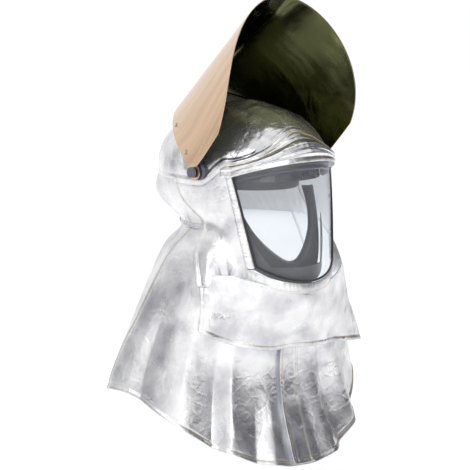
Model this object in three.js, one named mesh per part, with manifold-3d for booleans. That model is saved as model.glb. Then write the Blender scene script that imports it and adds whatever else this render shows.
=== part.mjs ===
// Heat-protective face shield: a helmet inside a soft hood and cape, a clear curved visor in
// the hood's window, and a second visor on side pivots, shown raised over the head.
// Millimetres. +Z is up, the wearer faces -Y and the wearer's left is +X.
// The origin is at the centre of the head, level with the two side pivots.
import * as THREE from "three";
import { mergeVertices } from "three/addons/utils/BufferGeometryUtils.js";
import Module from "manifold-3d";

const wasm = await Module();
wasm.setup();

// ---- driving dimensions ----
const HELMET = { halfWidth: 110, halfDepth: 133, height: 84, rimZ: -15, wall: 3 };
const CLOTH = 3.5; // wall of the padded hood fabric
const HEM_GAP = 0.8; // between two sewn panels
const FIT = 0.4; // running clearance between touching pieces
const HOOD_SLACK = { side: 10, depth: 15, top: 11 }; // hood outside to helmet outside
const CAPE = {
  shoulder: 122, sideHemZ: -346, frontHemZ: -466, backHemZ: -398, seamAngle: 104, frontTopZ: -206,
};
// The bib's lower edge: middle and corners, and how far each corner stands off the cape. It drapes lower
// and wider on the wearer's left.
const BIB = { midZ: -282, rightZ: -242, leftZ: -304, rightAngle: 50, leftAngle: 62, out: 11, leftOut: 26 };
const WINDOW = {
  topAngle: 56, bottomAngle: 41, topSideZ: -5, topMidZ: 19, bottomSideZ: -146, bottomMidZ: -172,
};
const VISOR = { wall: 2, proud: 5, hidden: 8 }; // clear visor: sheet, stand-off, edge under the casing
const CASING = { width: 15, wall: 3 };
const PIVOT = { y: -38, z: 0, studR: 3, bossR: 12, washerR: 8.5, washer: 1.6 };
const FLIP = {
  archAngle: 148, archRadius: 180, archPeak: 1.24, sheetAngle: 33, length: 263, taper: 0.59, corner: 8,
  flare: 0.25, belly: 36, wall: 1.6, bandWidth: 22, bandWall: 1.6, tipStart: 3, earR: 13,
};
const SCREW = { r: 2, headR: 4.2, head: 1.8, nut: 2.4 };
const KNOB = { r: 8.5, depth: 6.5, flutes: 12 };
const BAND = { halfWidth: 76, halfDepth: 96, wall: 2, height: 26, topZ: -4, pad: 4 };
const RATCHET = { knobR: 17, knobDepth: 12, pinionR: 5, shaftR: 3 };
const STRAP = { width: 18, wall: 1.5, rise: 62 };
const HOUSING = { x: 46, y: 12, z: 32 }; // the ratchet's box
const REAR = { tailY: 8, bendY: 46, tailShare: 0.3, height: 16 }; // rear band: straight tails, then round
const FRAME = { wall: 7, drop: 14, rise: 9 }; // brow frame behind the clear visor's top edge
const SEAL = { wall: 3, topY: -62, drop: 4, lean: 27, height: 142, clear: 17, widest: 96 };
// Face opening in the seal, open at the top: half-width and distance down the plate.
const SEAL_RIM = [[71, 0], [69, 34], [60, 62], [52, 78], [34, 102], [12, 121]];
// Closes the room in front of the seal's plate; over is how far it rises past the plate's slope.
const SKIRT = { wall: 2, inset: 11, angle: 48, hidden: 6, over: 2, frontTopZ: -152 };
const BINDING = { r: 1.6 };
const NAPE = { low: -88, bulge: 14 }; // gathered back of the hood: lower edge and swell
const STRIP = { angle: 5, top: -262, off: 2.5 }; // closure down the chest

const RAD = Math.PI / 180;
const HOOD = {
  a: HELMET.halfWidth + HOOD_SLACK.side + 5,
  b: HELMET.halfDepth + HOOD_SLACK.depth + 2,
  top: HELMET.rimZ + HELMET.height + HOOD_SLACK.top + 18,
};

// Sections of the hood's outer face from the pivots down: half-width, half-depth, centre along Y.
const SECTIONS = [
  { z: 0, a: HOOD.a, b: HOOD.b, y: 0 },
  { z: -45, a: HOOD.a - 5, b: HOOD.b - 2, y: -2 },
  { z: -85, a: HOOD.a - 15, b: HOOD.b - 24, y: -26 },
  { z: -126, a: HOOD.a + 17, b: HOOD.b - 13, y: -14 },
  { z: -176, a: HOOD.a + 44, b: HOOD.b - 9, y: -6 },
  { z: -242, a: CAPE.shoulder + 68, b: HOOD.b - 16, y: 14 },
  { z: -282, a: CAPE.shoulder + 85, b: HOOD.b - 18, y: 24 },
  { z: -360, a: CAPE.shoulder + 109, b: HOOD.b - 4, y: 34 },
  { z: -480, a: CAPE.shoulder + 122, b: HOOD.b + 37, y: 34 },
];

// ---- shared shaping ----
const mix = (a, b, t) => a + (b - a) * t;
const clamp = (v, lo, hi) => Math.min(hi, Math.max(lo, v));
const smooth = (t) => t * t * (3 - 2 * t);

// The hood's section at a height, eased between the named sections.
function sectionAt(z) {
  if (z >= 0) {
    const k = Math.sqrt(Math.max(0, 1 - (z / HOOD.top) ** 2));
    return { a: HOOD.a * k, b: HOOD.b * k, y: 0 };
  }
  const last = SECTIONS.length - 2;
  let i = SECTIONS.findIndex((s) => s.z <= z) - 1;
  i = clamp(i < 0 ? last : i, 0, last);
  const [hi, lo] = [SECTIONS[i], SECTIONS[i + 1]];
  const t = clamp((hi.z - z) / (hi.z - lo.z), 0, 1);
  return { a: mix(hi.a, lo.a, t), b: mix(hi.b, lo.b, t), y: mix(hi.y, lo.y, t) };
}

// A point on the hood, off outwards; angle 0 is the front and +90 the wearer's left.
function onHood(angle, z, off) {
  const s = sectionAt(z);
  const t = angle * RAD;
  return new THREE.Vector3((s.a + off) * Math.sin(t), s.y - (s.b + off) * Math.cos(t), z);
}

// The upright face that carries the clear visor: one elliptic cylinder for the whole window.
const FACE = { a: HOOD.a - VISOR.proud, b: HOOD.b + VISOR.proud };
function onFace(angle, z, off) {
  const t = angle * RAD;
  return new THREE.Vector3((FACE.a + off) * Math.sin(t), -(FACE.b + off) * Math.cos(t), z);
}

// A closed slab bent onto a surface. u, v and w run 0 to 1: along, up and outwards.
function bentSlab(nu, nv, place) {
  const geometry = new THREE.BoxGeometry(1, 1, 1, nu, nv, 1);
  geometry.deleteAttribute("normal");
  geometry.deleteAttribute("uv");
  const at = geometry.attributes.position;
  for (let i = 0; i < at.count; i++) {
    const p = place(at.getX(i) + 0.5, at.getY(i) + 0.5, at.getZ(i) + 0.5);
    at.setXYZ(i, p.x, p.y, p.z);
  }
  return outwards(mergeVertices(geometry, 1e-4));
}

// Turns a closed mesh's faces outwards, whichever way its grid ran.
function outwards(geometry) {
  const at = geometry.attributes.position;
  const index = geometry.index.array;
  const [a, b, c] = [new THREE.Vector3(), new THREE.Vector3(), new THREE.Vector3()];
  let volume = 0;
  for (let i = 0; i < index.length; i += 3) {
    a.fromBufferAttribute(at, index[i]);
    b.fromBufferAttribute(at, index[i + 1]);
    c.fromBufferAttribute(at, index[i + 2]);
    volume += a.dot(b.cross(c));
  }
  if (volume < 0) {
    for (let i = 0; i < index.length; i += 3) [index[i], index[i + 1]] = [index[i + 1], index[i]];
  }
  return geometry;
}

// A welded mesh with positions only and no collapsed faces.
function positionsOnly(geometry) {
  const bare = geometry.index ? geometry.toNonIndexed() : geometry.clone();
  for (const name of Object.keys(bare.attributes)) if (name !== "position") bare.deleteAttribute(name);
  const merged = mergeVertices(bare, 1e-4);
  const kept = [];
  const index = merged.index.array;
  for (let i = 0; i < index.length; i += 3) {
    const [a, b, c] = [index[i], index[i + 1], index[i + 2]];
    if (a !== b && b !== c && c !== a) kept.push(a, b, c);
  }
  merged.setIndex(kept);
  return merged;
}

function toSolid(geometry) {
  const bare = positionsOnly(geometry);
  return new wasm.Manifold(new wasm.Mesh({
    numProp: 3,
    vertProperties: new Float32Array(bare.attributes.position.array),
    triVerts: new Uint32Array(bare.index.array),
  }));
}

function fromSolid(solid) {
  const mesh = solid.getMesh();
  const geometry = new THREE.BufferGeometry();
  geometry.setAttribute("position", new THREE.BufferAttribute(mesh.vertProperties, 3));
  geometry.setIndex(new THREE.BufferAttribute(mesh.triVerts, 1));
  return geometry;
}

function cut(geometry, ...tools) {
  return fromSolid(tools.reduce((solid, tool) => solid.subtract(toSolid(tool)), toSolid(geometry)));
}

function join(geometry, ...others) {
  return fromSolid(others.reduce((solid, other) => solid.add(toSolid(other)), toSolid(geometry)));
}

// A cylinder that runs along a direction from one point.
function rod(r, length, from, dir, sides = 20) {
  const geometry = new THREE.CylinderGeometry(r, r, length, sides);
  geometry.translate(0, length / 2, 0);
  const turn = new THREE.Quaternion().setFromUnitVectors(new THREE.Vector3(0, 1, 0), dir);
  return geometry.applyQuaternion(turn).translate(from.x, from.y, from.z);
}

// A turned screw: its shank starts at a point and runs along a direction up to a flat head.
function screw(from, dir, shank, headR) {
  const profile = [[0, 0], [SCREW.r, 0], [SCREW.r, shank], [headR, shank], [headR, shank + SCREW.head],
    [0, shank + SCREW.head]].map(([x, y]) => new THREE.Vector2(x, y));
  const turn = new THREE.Quaternion().setFromUnitVectors(new THREE.Vector3(0, 1, 0), dir);
  const geometry = new THREE.LatheGeometry(profile, 12).applyQuaternion(turn);
  return outwards(positionsOnly(geometry.translate(from.x, from.y, from.z)));
}

// ---- materials ----
const finish = (color, roughness, metalness) => new THREE.MeshStandardMaterial({ color, roughness, metalness });
const SILVER = finish(0xd9d9dc, 0.4, 0.8);
const GOLD = finish(0xcf9f78, 0.15, 0.9);
const BLACK = finish(0x1c1c20, 0.6, 0);
const GREY = finish(0x55565e, 0.5, 0);
const CLEAR = finish(0xe4eaf0, 0.05, 0);
const SHELL = finish(0xe6e6e2, 0.4, 0);
const STEEL = finish(0xb8b8bb, 0.3, 1);
const FOAM = finish(0x2b2c30, 0.9, 0);
const WEB = finish(0x3a3c42, 0.8, 0);

const root = new THREE.Group();
function add(parent, name, geometry, material) {
  const mesh = new THREE.Mesh(geometry, material);
  mesh.name = name;
  parent.add(mesh);
  return mesh;
}
const SIDES = [["right", -1], ["left", 1]];

// ---- helmet ----
// A dome turned on the Z axis and drawn out to the head's ellipse.
function dome(halfWidth, halfDepth, height, rimZ, wall, rings, segments) {
  const profile = [];
  for (let i = 0; i <= rings; i++) {
    const t = (i / rings) * 90 * RAD;
    profile.push(new THREE.Vector2(halfWidth * Math.cos(t), height * Math.sin(t)));
  }
  for (let i = rings; i >= 0; i--) {
    const t = (i / rings) * 90 * RAD;
    profile.push(new THREE.Vector2((halfWidth - wall) * Math.cos(t), (height - wall) * Math.sin(t)));
  }
  profile.push(profile[0].clone());
  profile[rings].x = 0;
  profile[rings + 1].x = 0;
  const geometry = new THREE.LatheGeometry(profile, segments);
  geometry.rotateX(90 * RAD).scale(1, halfDepth / halfWidth, 1).translate(0, 0, rimZ);
  return outwards(positionsOnly(geometry));
}

// Half-width of the helmet's outside at the pivots.
const HELMET_AT_PIVOT = HELMET.halfWidth * Math.sqrt(
  1 - (PIVOT.y / HELMET.halfDepth) ** 2 - ((PIVOT.z - HELMET.rimZ) / HELMET.height) ** 2);
const BOSS = { inner: HELMET_AT_PIVOT + 0.5, outer: HOOD.a + 3.5 };
const along = (side) => new THREE.Vector3(side, 0, 0);
const pivotPoint = (side, x) => new THREE.Vector3(side * x, PIVOT.y, PIVOT.z);

const studHoles = SIDES.map(([, side]) => (
  rod(PIVOT.studR + FIT, 60, pivotPoint(side, HELMET_AT_PIVOT - 30), along(side))));
const helmetDome = dome(
  HELMET.halfWidth, HELMET.halfDepth, HELMET.height, HELMET.rimZ, HELMET.wall, 6, 32);
add(root, "helmet_shell", cut(helmetDome, ...studHoles), SHELL);

// ---- pivots: washers, studs and bosses on the helmet's sides ----
const FLIP_A = BOSS.outer + PIVOT.washer + 3 * FIT; // inner face of the carrier band at the pivots
const CARRIER_OUT = FLIP_A + FLIP.bandWall;
const SHEET_IN = CARRIER_OUT + 3 * FIT;
const SHEET_OUT = SHEET_IN + FLIP.wall;
const KNOB_IN = SHEET_OUT + 3 * FIT;
for (const [name, side] of SIDES) {
  const at = (x) => pivotPoint(side, x);
  const boss = rod(PIVOT.bossR, BOSS.outer - BOSS.inner, at(BOSS.inner), along(side), 24);
  const bore = rod(PIVOT.studR + FIT, 60, at(BOSS.inner - 20), along(side));
  const seat = toSolid(dome(HELMET.halfWidth + FIT, HELMET.halfDepth + FIT, HELMET.height + FIT,
    HELMET.rimZ - FIT, HELMET.halfWidth / 2, 12, 48));
  const seated = fromSolid(toSolid(boss).subtract(seat));
  add(root, `pivot_boss_${name}`, cut(seated, bore), GREY);
  const washer = rod(PIVOT.washerR, PIVOT.washer, at(BOSS.outer + FIT), along(side), 24);
  add(root, `friction_washer_${name}`, cut(washer, bore), BLACK);
  const studStart = HELMET_AT_PIVOT - HELMET.wall - 6;
  const stud = rod(PIVOT.studR, KNOB_IN + KNOB.depth - 3 - studStart, at(studStart), along(side), 16);
  const head = rod(6, 2.5, at(studStart - 2.5), along(side), 6);
  add(root, `pivot_stud_${name}`, join(stud, head), STEEL);
}

// ---- headband, sweatband and crown straps ----
function bandSlab(from, to, zLow, zHigh, inner, wall, nu) {
  return bentSlab(nu, 1, (u, v, w) => {
    const t = mix(from, to, u) * RAD;
    const r = inner + wall * w;
    return new THREE.Vector3(
      (BAND.halfWidth + r) * Math.sin(t), -(BAND.halfDepth + r) * Math.cos(t), mix(zLow, zHigh, v));
  });
}
const BAND_LOW = BAND.topZ - BAND.height;
add(root, "headband_front", bandSlab(-112, 112, BAND_LOW, BAND.topZ, 0, BAND.wall, 36), WEB);
add(root, "sweatband", bandSlab(-70, 70, BAND_LOW - 2, BAND.topZ, -FIT - BAND.pad, BAND.pad, 20), FOAM);

// A strap arches over the head from one clip to the opposite one.
function crownStrap(heading, lift) {
  return bentSlab(20, 1, (u, v, w) => {
    const t = mix(-76, 76, u) * RAD;
    const reach = new THREE.Vector2(
      (BAND.halfWidth + 12) * Math.sin(heading * RAD), (BAND.halfDepth + 12) * Math.cos(heading * RAD));
    const across = new THREE.Vector2(reach.y, -reach.x).normalize().multiplyScalar((0.5 - v) * STRAP.width);
    const k = 1 + (w * STRAP.wall) / BAND.halfWidth;
    return new THREE.Vector3(
      reach.x * Math.sin(t) * k + across.x, reach.y * Math.sin(t) * k + across.y,
      BAND.topZ + 6 + lift * (1 - Math.abs(Math.sin(t))) + (STRAP.rise - 10) * Math.cos(t) + w * STRAP.wall);
  });
}
const STRAP_HEADINGS = [["right", -42, 0], ["left", 42, 3.5]];
for (const [name, heading, lift] of STRAP_HEADINGS) {
  add(root, `crown_strap_${name}`, crownStrap(heading, lift), WEB);
  for (const [end, sign] of [["front", -1], ["rear", 1]]) {
    const reach = (r) => new THREE.Vector3(
      sign * (BAND.halfWidth + r) * Math.sin(heading * RAD),
      sign * (BAND.halfDepth + r) * Math.cos(heading * RAD), 0);
    const dir = reach(1).sub(reach(0)).normalize();
    const clip = new THREE.BoxGeometry(16, 4, 20);
    clip.rotateZ(Math.atan2(-dir.x, dir.y)).translate(...reach(20).setZ(-2).toArray());
    add(root, `strap_clip_${name}_${end}`, positionsOnly(clip), GREY);
  }
}

// ---- ratchet: the rear band slides forward as its knob turns ----
const REAR_INNER = BAND.wall + 1; // rear band laps outside the front band
const REAR_Y = BAND.halfDepth + REAR_INNER + BAND.wall;
const ratchet = new THREE.Group();
const ratchetMidZ = HELMET.rimZ - RATCHET.knobR - 6; // the knob hangs clear below the helmet's rim
// Round the back of the head: straight tails that lap the front band, then half an ellipse.
function rearPoint(u, r) {
  const s = 2 * u - 1;
  const bend = 1 - REAR.tailShare;
  const inTail = clamp((Math.abs(s) - bend) / REAR.tailShare, 0, 1);
  const t = clamp(Math.abs(s) / bend, 0, 1) * 90 * RAD;
  const x = Math.sign(s) * (BAND.halfWidth + r) * Math.sin(t);
  const y = REAR.bendY + (BAND.halfDepth + r - REAR.bendY) * Math.cos(t) - inTail * (REAR.bendY - REAR.tailY);
  const rise = smooth(Math.min(1, Math.abs(s) * 1.3));
  return new THREE.Vector3(x, y, mix(ratchetMidZ, BAND.topZ - BAND.height / 2, rise));
}
const behind = (y) => new THREE.Vector3(0, y, ratchetMidZ);
const Y_DIR = new THREE.Vector3(0, 1, 0);
const rearBand = bentSlab(36, 1, (u, v, w) => {
  const p = rearPoint(u, REAR_INNER + BAND.wall * w);
  return p.setZ(p.z + (v - 0.5) * REAR.height);
});
add(ratchet, "rear_band", rearBand, WEB);
const housing = positionsOnly(new THREE.BoxGeometry(HOUSING.x, HOUSING.y, HOUSING.z)
  .translate(0, REAR_Y + 2 + HOUSING.y / 2, ratchetMidZ));
const pinionRoom = rod(RATCHET.pinionR + 1.5, HOUSING.y - 6, behind(REAR_Y + 5), Y_DIR);
const shaftHole = rod(RATCHET.shaftR + FIT, HOUSING.y, behind(REAR_Y + 5), Y_DIR);
add(ratchet, "ratchet_housing", cut(housing, pinionRoom, shaftHole), GREY);
const napePad = bentSlab(12, 1, (u, v, w) => {
  const p = rearPoint(mix(0.33, 0.67, u), REAR_INNER - FIT - BAND.pad * (1 - w));
  return p.setZ(p.z + (v - 0.5) * (REAR.height + 18));
});
add(ratchet, "nape_pad", napePad, FOAM);
const pinion = rod(RATCHET.pinionR, HOUSING.y - 8, behind(REAR_Y + 6), Y_DIR, 10);
const shaftEnd = REAR_Y + 2 + HOUSING.y + 1.5;
const shaft = rod(RATCHET.shaftR, shaftEnd - REAR_Y - 6, behind(REAR_Y + 6), Y_DIR, 16);
const knobDisc = rod(RATCHET.knobR, RATCHET.knobDepth, behind(shaftEnd - 0.5), Y_DIR, 24);
const pinionBore = rod(RATCHET.shaftR + FIT, HOUSING.y, behind(REAR_Y), Y_DIR);
add(ratchet, "ratchet_pinion", cut(pinion, pinionBore), STEEL);
add(ratchet, "ratchet_knob", join(knobDisc, shaft), GREY);
root.add(ratchet);

// ---- window: frame, clear visor, screws, face seal ----
// The window's outline: top and bottom edges arch, and the sides lean in towards the chin.
const windowTop = (s) => mix(WINDOW.topMidZ, WINDOW.topSideZ, s * s);
const windowBottom = (s) => mix(WINDOW.bottomMidZ, WINDOW.bottomSideZ, s * s);
function windowPoint(s, v, off, grow = 0) {
  const z = mix(windowBottom(s) - grow, windowTop(s) + grow, v);
  const edge = mix(WINDOW.bottomAngle, WINDOW.topAngle, v);
  return onFace(s * (edge + grow / 2.4), z, off);
}
const VISOR_OUT = VISOR.wall;
const visorSheet = bentSlab(24, 2, (u, v, w) => (
  windowPoint(2 * u - 1, v, w * VISOR.wall, VISOR.hidden)));
const SCREW_ANGLES = [["right", -38], ["middle", 0], ["left", 38]];
const screwSpots = SCREW_ANGLES.map(([name, angle]) => {
  const z = windowTop(angle / WINDOW.topAngle) + VISOR.hidden / 2;
  const dir = new THREE.Vector3(Math.sin(angle * RAD) / FACE.a, -Math.cos(angle * RAD) / FACE.b, 0).normalize();
  return { name, dir, at: (off) => onFace(angle, z, 0).addScaledVector(dir, off) };
});
const screwHoles = screwSpots.map((s) => rod(SCREW.r + FIT, 30, s.at(-20), s.dir, 12));
add(root, "clear_visor", cut(visorSheet, ...screwHoles), CLEAR);
const frameSlab = bentSlab(28, 1, (u, v, w) => {
  const s = 2 * u - 1;
  const angle = s * (WINDOW.topAngle + 5);
  return onFace(angle, windowTop(s) + mix(-FRAME.drop, FRAME.rise, v), -2 * FIT - FRAME.wall * (1 - w));
});
const frameHoles = screwSpots.map((s) => rod(SCREW.r + FIT, 30, s.at(-FRAME.wall + 1), s.dir, 12));
add(root, "visor_frame", cut(frameSlab, ...frameHoles), BLACK);
for (const s of screwSpots) {
  const shank = VISOR_OUT + FIT + FRAME.wall - 2;
  add(root, `visor_screw_${s.name}`, screw(s.at(2 - FRAME.wall), s.dir, shank, SCREW.headR - 1), STEEL);
}

// The face seal is a plate that slopes forward to the chin, inside the clear visor, cut out for the face.
function mirrored(half) {
  const other = half.slice().reverse().map(([x, v]) => [-x, v]);
  return [...half, ...other].map(([x, v]) => new THREE.Vector2(x, v));
}
// Half-width of the room inside the visor at a distance down the plate.
function sealHalf(v) {
  const y = SEAL.topY - v * Math.sin(SEAL.lean * RAD);
  const room = (FACE.a - SEAL.clear) * Math.sqrt(1 - (y / (FACE.b - SEAL.clear)) ** 2);
  return Math.min(SEAL.widest, room);
}
function faceSeal() {
  const half = [0, 0.25, 0.5, 0.7, 0.85, 1].map((k) => [sealHalf(k * SEAL.height), -k * SEAL.height]);
  const rim = SEAL_RIM.map(([x, down]) => [x, -down]);
  const outline = new THREE.Shape([...mirrored(half), ...mirrored(rim).reverse()]);
  const plate = new THREE.ExtrudeGeometry(outline, { depth: SEAL.wall, bevelEnabled: false });
  plate.rotateX((90 - SEAL.lean) * RAD).translate(0, SEAL.topY, BAND_LOW - SEAL.drop);
  return outwards(positionsOnly(plate));
}
add(root, "face_seal", faceSeal(), BLACK);

// The chin skirt stands inside the visor's lower edge, in front of the plate's outer edge.
const chinSkirt = bentSlab(28, 1, (u, v, w) => {
  const angle = mix(-SKIRT.angle, SKIRT.angle, u);
  const p = onFace(angle, 0, -SKIRT.inset - SKIRT.wall * (1 - w));
  const slope = BAND_LOW - SEAL.drop + (p.y - SEAL.topY) / Math.tan(SEAL.lean * RAD);
  const low = windowBottom(clamp(angle / WINDOW.bottomAngle, -1, 1)) - SKIRT.hidden;
  return p.setZ(mix(low, Math.max(slope + SKIRT.over, SKIRT.frontTopZ), v));
});
add(root, "chin_skirt", chinSkirt, BLACK);

// ---- gold visor and its carrier, raised ----
const over = new THREE.Group();
const archDir = { y: -Math.cos(FLIP.archAngle * RAD), z: Math.sin(FLIP.archAngle * RAD) };
const sheetDir = { y: -Math.cos(FLIP.sheetAngle * RAD), z: Math.sin(FLIP.sheetAngle * RAD) };
// Around the arch from the right pivot to the left one: off is outwards in the arch's plane, and run
// is along the sheet, which flares and bellies as it leaves the arch.
function overPoint(angle, off, run) {
  const t = angle * RAD;
  const rho = (FLIP.archRadius + off) * Math.sin(t) ** FLIP.archPeak;
  const k = run / FLIP.length;
  const belly = FLIP.belly * k * Math.sin(t) ** 2;
  return new THREE.Vector3(
    -(FLIP_A + off) * Math.cos(t) * (1 + FLIP.flare * k * Math.sqrt(Math.sin(t))),
    PIVOT.y + rho * archDir.y + run * sheetDir.y + belly * sheetDir.z,
    PIVOT.z + rho * archDir.z + run * sheetDir.z - belly * sheetDir.y);
}
// The sheet's corners are rounded off at the pivots.
function sheetLength(angle) {
  const fromTip = Math.min(angle, 180 - angle) - FLIP.tipStart + 0.6;
  const corner = Math.sqrt(clamp(fromTip / FLIP.corner, 0, 1));
  return FLIP.length * Math.sin(angle * RAD) ** FLIP.taper * corner;
}
const pivotHoles = SIDES.map(([, side]) => (
  rod(PIVOT.studR + FIT, 60, pivotPoint(side, FLIP_A - 20), along(side))));
function withEars(shell, from, wall) {
  const ears = SIDES.map(([, side]) => rod(FLIP.earR, wall, pivotPoint(side, from), along(side), 24));
  return cut(join(shell, ...ears), ...pivotHoles);
}
// Screws stand square to the sheet, through sheet and carrier.
const FLIP_SCREWS = [
  ["right_low", 18], ["right_high", 42], ["middle", 90], ["left_high", 138], ["left_low", 162]];
const sheetNormal = (angle) => {
  const d = overPoint(angle + 0.5, 0, 0).sub(overPoint(angle - 0.5, 0, 0));
  const g = new THREE.Vector3(0, sheetDir.y, sheetDir.z);
  return g.cross(d).normalize().multiplyScalar(-1);
};
const flipSpots = FLIP_SCREWS.map(([name, angle]) => {
  const from = overPoint(angle, 0, FLIP.bandWidth * 0.45);
  const dir = sheetNormal(angle);
  if (dir.dot(new THREE.Vector3(from.x, from.y - PIVOT.y, from.z)) < 0) dir.negate();
  return { name, dir, at: (off) => from.clone().addScaledVector(dir, off) };
});
const flipHoles = flipSpots.map((s) => rod(SCREW.r + FIT, 20, s.at(-8), s.dir, 12));
const START = FLIP.tipStart;
const ARCH_STEPS = 36;
const carrier = bentSlab(ARCH_STEPS, 1, (u, v, w) => {
  const angle = mix(START, 180 - START, u);
  return overPoint(angle, FLIP.bandWall * w, Math.min(FLIP.bandWidth, sheetLength(angle) * 0.9) * v);
});
const SHEET_OFF = FLIP.bandWall + 3 * FIT;
const goldSheet = bentSlab(ARCH_STEPS, 6, (u, v, w) => {
  const angle = mix(START, 180 - START, u);
  return overPoint(angle, SHEET_OFF + FLIP.wall * w, sheetLength(angle) * v);
});
add(over, "carrier_band", cut(withEars(carrier, FLIP_A, FLIP.bandWall), ...flipHoles), BLACK);
add(over, "gold_visor", cut(withEars(goldSheet, SHEET_IN, FLIP.wall), ...flipHoles), GOLD);
for (const s of flipSpots) {
  const inner = -SCREW.nut - 2 * FIT;
  const outer = SHEET_OFF + FLIP.wall + FIT;
  const turned = screw(s.at(inner - 0.5), s.dir, outer - inner + 0.5, SCREW.headR);
  add(over, `carrier_screw_${s.name}`, turned, STEEL);
  const nut = rod(SCREW.headR, SCREW.nut, s.at(inner), s.dir, 6);
  add(over, `carrier_nut_${s.name}`, cut(nut, rod(SCREW.r + FIT, 12, s.at(inner - 4), s.dir, 12)), STEEL);
}
root.add(over);

// ---- pivot knobs: fluted, on the studs' ends ----
for (const [name, side] of SIDES) {
  const from = pivotPoint(side, KNOB_IN);
  const body = rod(KNOB.r, KNOB.depth, from, along(side), 24);
  const flutes = [];
  for (let i = 0; i < KNOB.flutes; i++) {
    const t = ((i + 0.5) / KNOB.flutes) * 360 * RAD;
    const at = new THREE.Vector3(from.x - side, from.y + KNOB.r * Math.cos(t), from.z + KNOB.r * Math.sin(t));
    flutes.push(rod(1.1, KNOB.depth + 2, at, along(side), 6));
  }
  const socket = rod(
    PIVOT.studR + FIT, KNOB.depth - 3 + FIT + 2, pivotPoint(side, KNOB_IN - 2), along(side), 16);
  add(root, `pivot_knob_${name}`, cut(body, socket, ...flutes), GREY);
}

// ---- hood ----
// The crown cover reaches down to the fan seam in front and to the nape behind; below it the brow
// panel bulges over the visor's top edge.
const casingEdge = (v) => mix(WINDOW.bottomAngle, WINDOW.topAngle, v) + CASING.width / 2.3;
const SEAM = {
  frontZ: 60, cornerZ: WINDOW.topSideZ + 20, sideZ: -17, cornerAngle: 57, earAngle: 78, gap: 2.5,
};
const crownEdge = (angle) => {
  const t = Math.abs(angle);
  if (t < SEAM.cornerAngle) return mix(SEAM.cornerZ, SEAM.frontZ, smooth(1 - t / SEAM.cornerAngle));
  const down = clamp((t - SEAM.cornerAngle) / (SEAM.earAngle - SEAM.cornerAngle), 0, 1);
  return mix(SEAM.cornerZ, SEAM.sideZ, smooth(down));
};
const hoodBores = SIDES.map(([, side]) => (
  rod(PIVOT.bossR + FIT, 40, pivotPoint(side, BOSS.inner), along(side), 24)));
// The dome's height runs by angle, so the rings close up evenly on the crown.
function crownCover() {
  const segments = 36;
  const rings = 6;
  const geometry = new THREE.LatheGeometry(crownProfile(rings), segments);
  geometry.rotateX(90 * RAD);
  const bare = positionsOnly(geometry);
  const at = bare.attributes.position;
  for (let i = 0; i < at.count; i++) {
    const [x, y, key] = [at.getX(i), at.getY(i), at.getZ(i)];
    const r = Math.hypot(x, y);
    const angle = r < 1e-6 ? 0 : Math.atan2(x, -y) / RAD;
    const outer = key > 0;
    const v = Math.abs(key) / 100;
    const low = crownEdge(angle);
    const lift = mix(Math.asin(clamp(low / HOOD.top, -0.4, 1)), 90 * RAD, r < 1e-6 ? 1 : v);
    const wall = outer ? 0 : CLOTH;
    const reach = Math.cos(lift);
    at.setXYZ(i,
      r < 1e-6 ? 0 : (HOOD.a - wall) * reach * Math.sin(angle * RAD),
      r < 1e-6 ? 0 : -(HOOD.b - wall) * reach * Math.cos(angle * RAD),
      (HOOD.top - wall) * Math.sin(lift));
  }
  return outwards(bare);
}
// Radius only carries the ring; the sign of the height tells the outer face from the inner one.
function crownProfile(rings) {
  const points = [];
  for (let i = 0; i < rings; i++) points.push(new THREE.Vector2(100 - i * (90 / rings), 1 + (i * 99) / rings));
  points.push(new THREE.Vector2(0, 100));
  points.push(new THREE.Vector2(0, -100));
  for (let i = rings - 1; i >= 0; i--) {
    points.push(new THREE.Vector2(100 - i * (90 / rings), -1 - (i * 99) / rings));
  }
  points.push(points[0].clone());
  return points;
}
add(root, "crown_cover", cut(crownCover(), ...hoodBores), SILVER);

const browLow = (angle) => windowTop(clamp(angle / WINDOW.topAngle, -1, 1));
const BROW_OUT = CASING.wall + VISOR.wall + SCREW.head + 1; // clears the visor's screws
const browEnd = casingEdge(1);
const brow = bentSlab(26, 4, (u, v, w) => {
  const angle = mix(-browEnd, browEnd, u);
  const low = browLow(angle);
  const high = crownEdge(angle) - SEAM.gap;
  const z = mix(low, high, v);
  const lean = clamp((z - low - FRAME.rise - 2) / (high - low - FRAME.rise - 2), 0, 1);
  const seat = onFace(angle, z, BROW_OUT - CASING.wall * (1 - w));
  return seat.lerp(onHood(angle, z, -CLOTH * (1 - w)), high - low < FRAME.rise + 6 ? v * 0.3 : smooth(lean));
});
add(root, "brow_panel", brow, SILVER);

// Side seam: from above the window's corner back to the ear, then down and forward to the bib's corner.
const SEAM_FALL = -BIB.rightZ - 20;
const seamAngle = (z, low = BIB.rightAngle) => {
  const t = clamp((-20 - z) / SEAM_FALL, 0, 1);
  return mix(97, low, smooth(t) * 0.5 + t * 0.5);
};
const WINDOW_HEIGHT = WINDOW.topSideZ - WINDOW.bottomSideZ;
const APRON_LOW = WINDOW.bottomSideZ - CASING.width - HEM_GAP;
const CAPE_IN = 1.5; // the cape lies this far inside the panels that lap over it

// The apron is the face panel beside the window, from the casing back to the side seam.
function apron(side) {
  return bentSlab(8, 10, (u, v, w) => {
    const k = side > 0 ? u : 1 - u;
    const rough = mix(APRON_LOW, WINDOW.topSideZ, v);
    const near = casingEdge(clamp((rough - WINDOW.bottomSideZ) / WINDOW_HEIGHT, 0, 1));
    const angle = mix(near + 1.7, seamAngle(rough) - 0.6, k);
    const z = mix(APRON_LOW, crownEdge(angle) - SEAM.gap, v);
    const face = onFace(angle, z, 3 + CLOTH * w);
    const hood = onHood(angle, z, CLOTH * w);
    const p = face.lerp(hood, smooth(clamp((k - 0.1) / 0.6, 0, 1)));
    return new THREE.Vector3(side * p.x, p.y, p.z);
  });
}
for (const [name, side] of SIDES) add(root, `apron_${name}`, cut(apron(side), ...hoodBores), SILVER);

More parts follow.
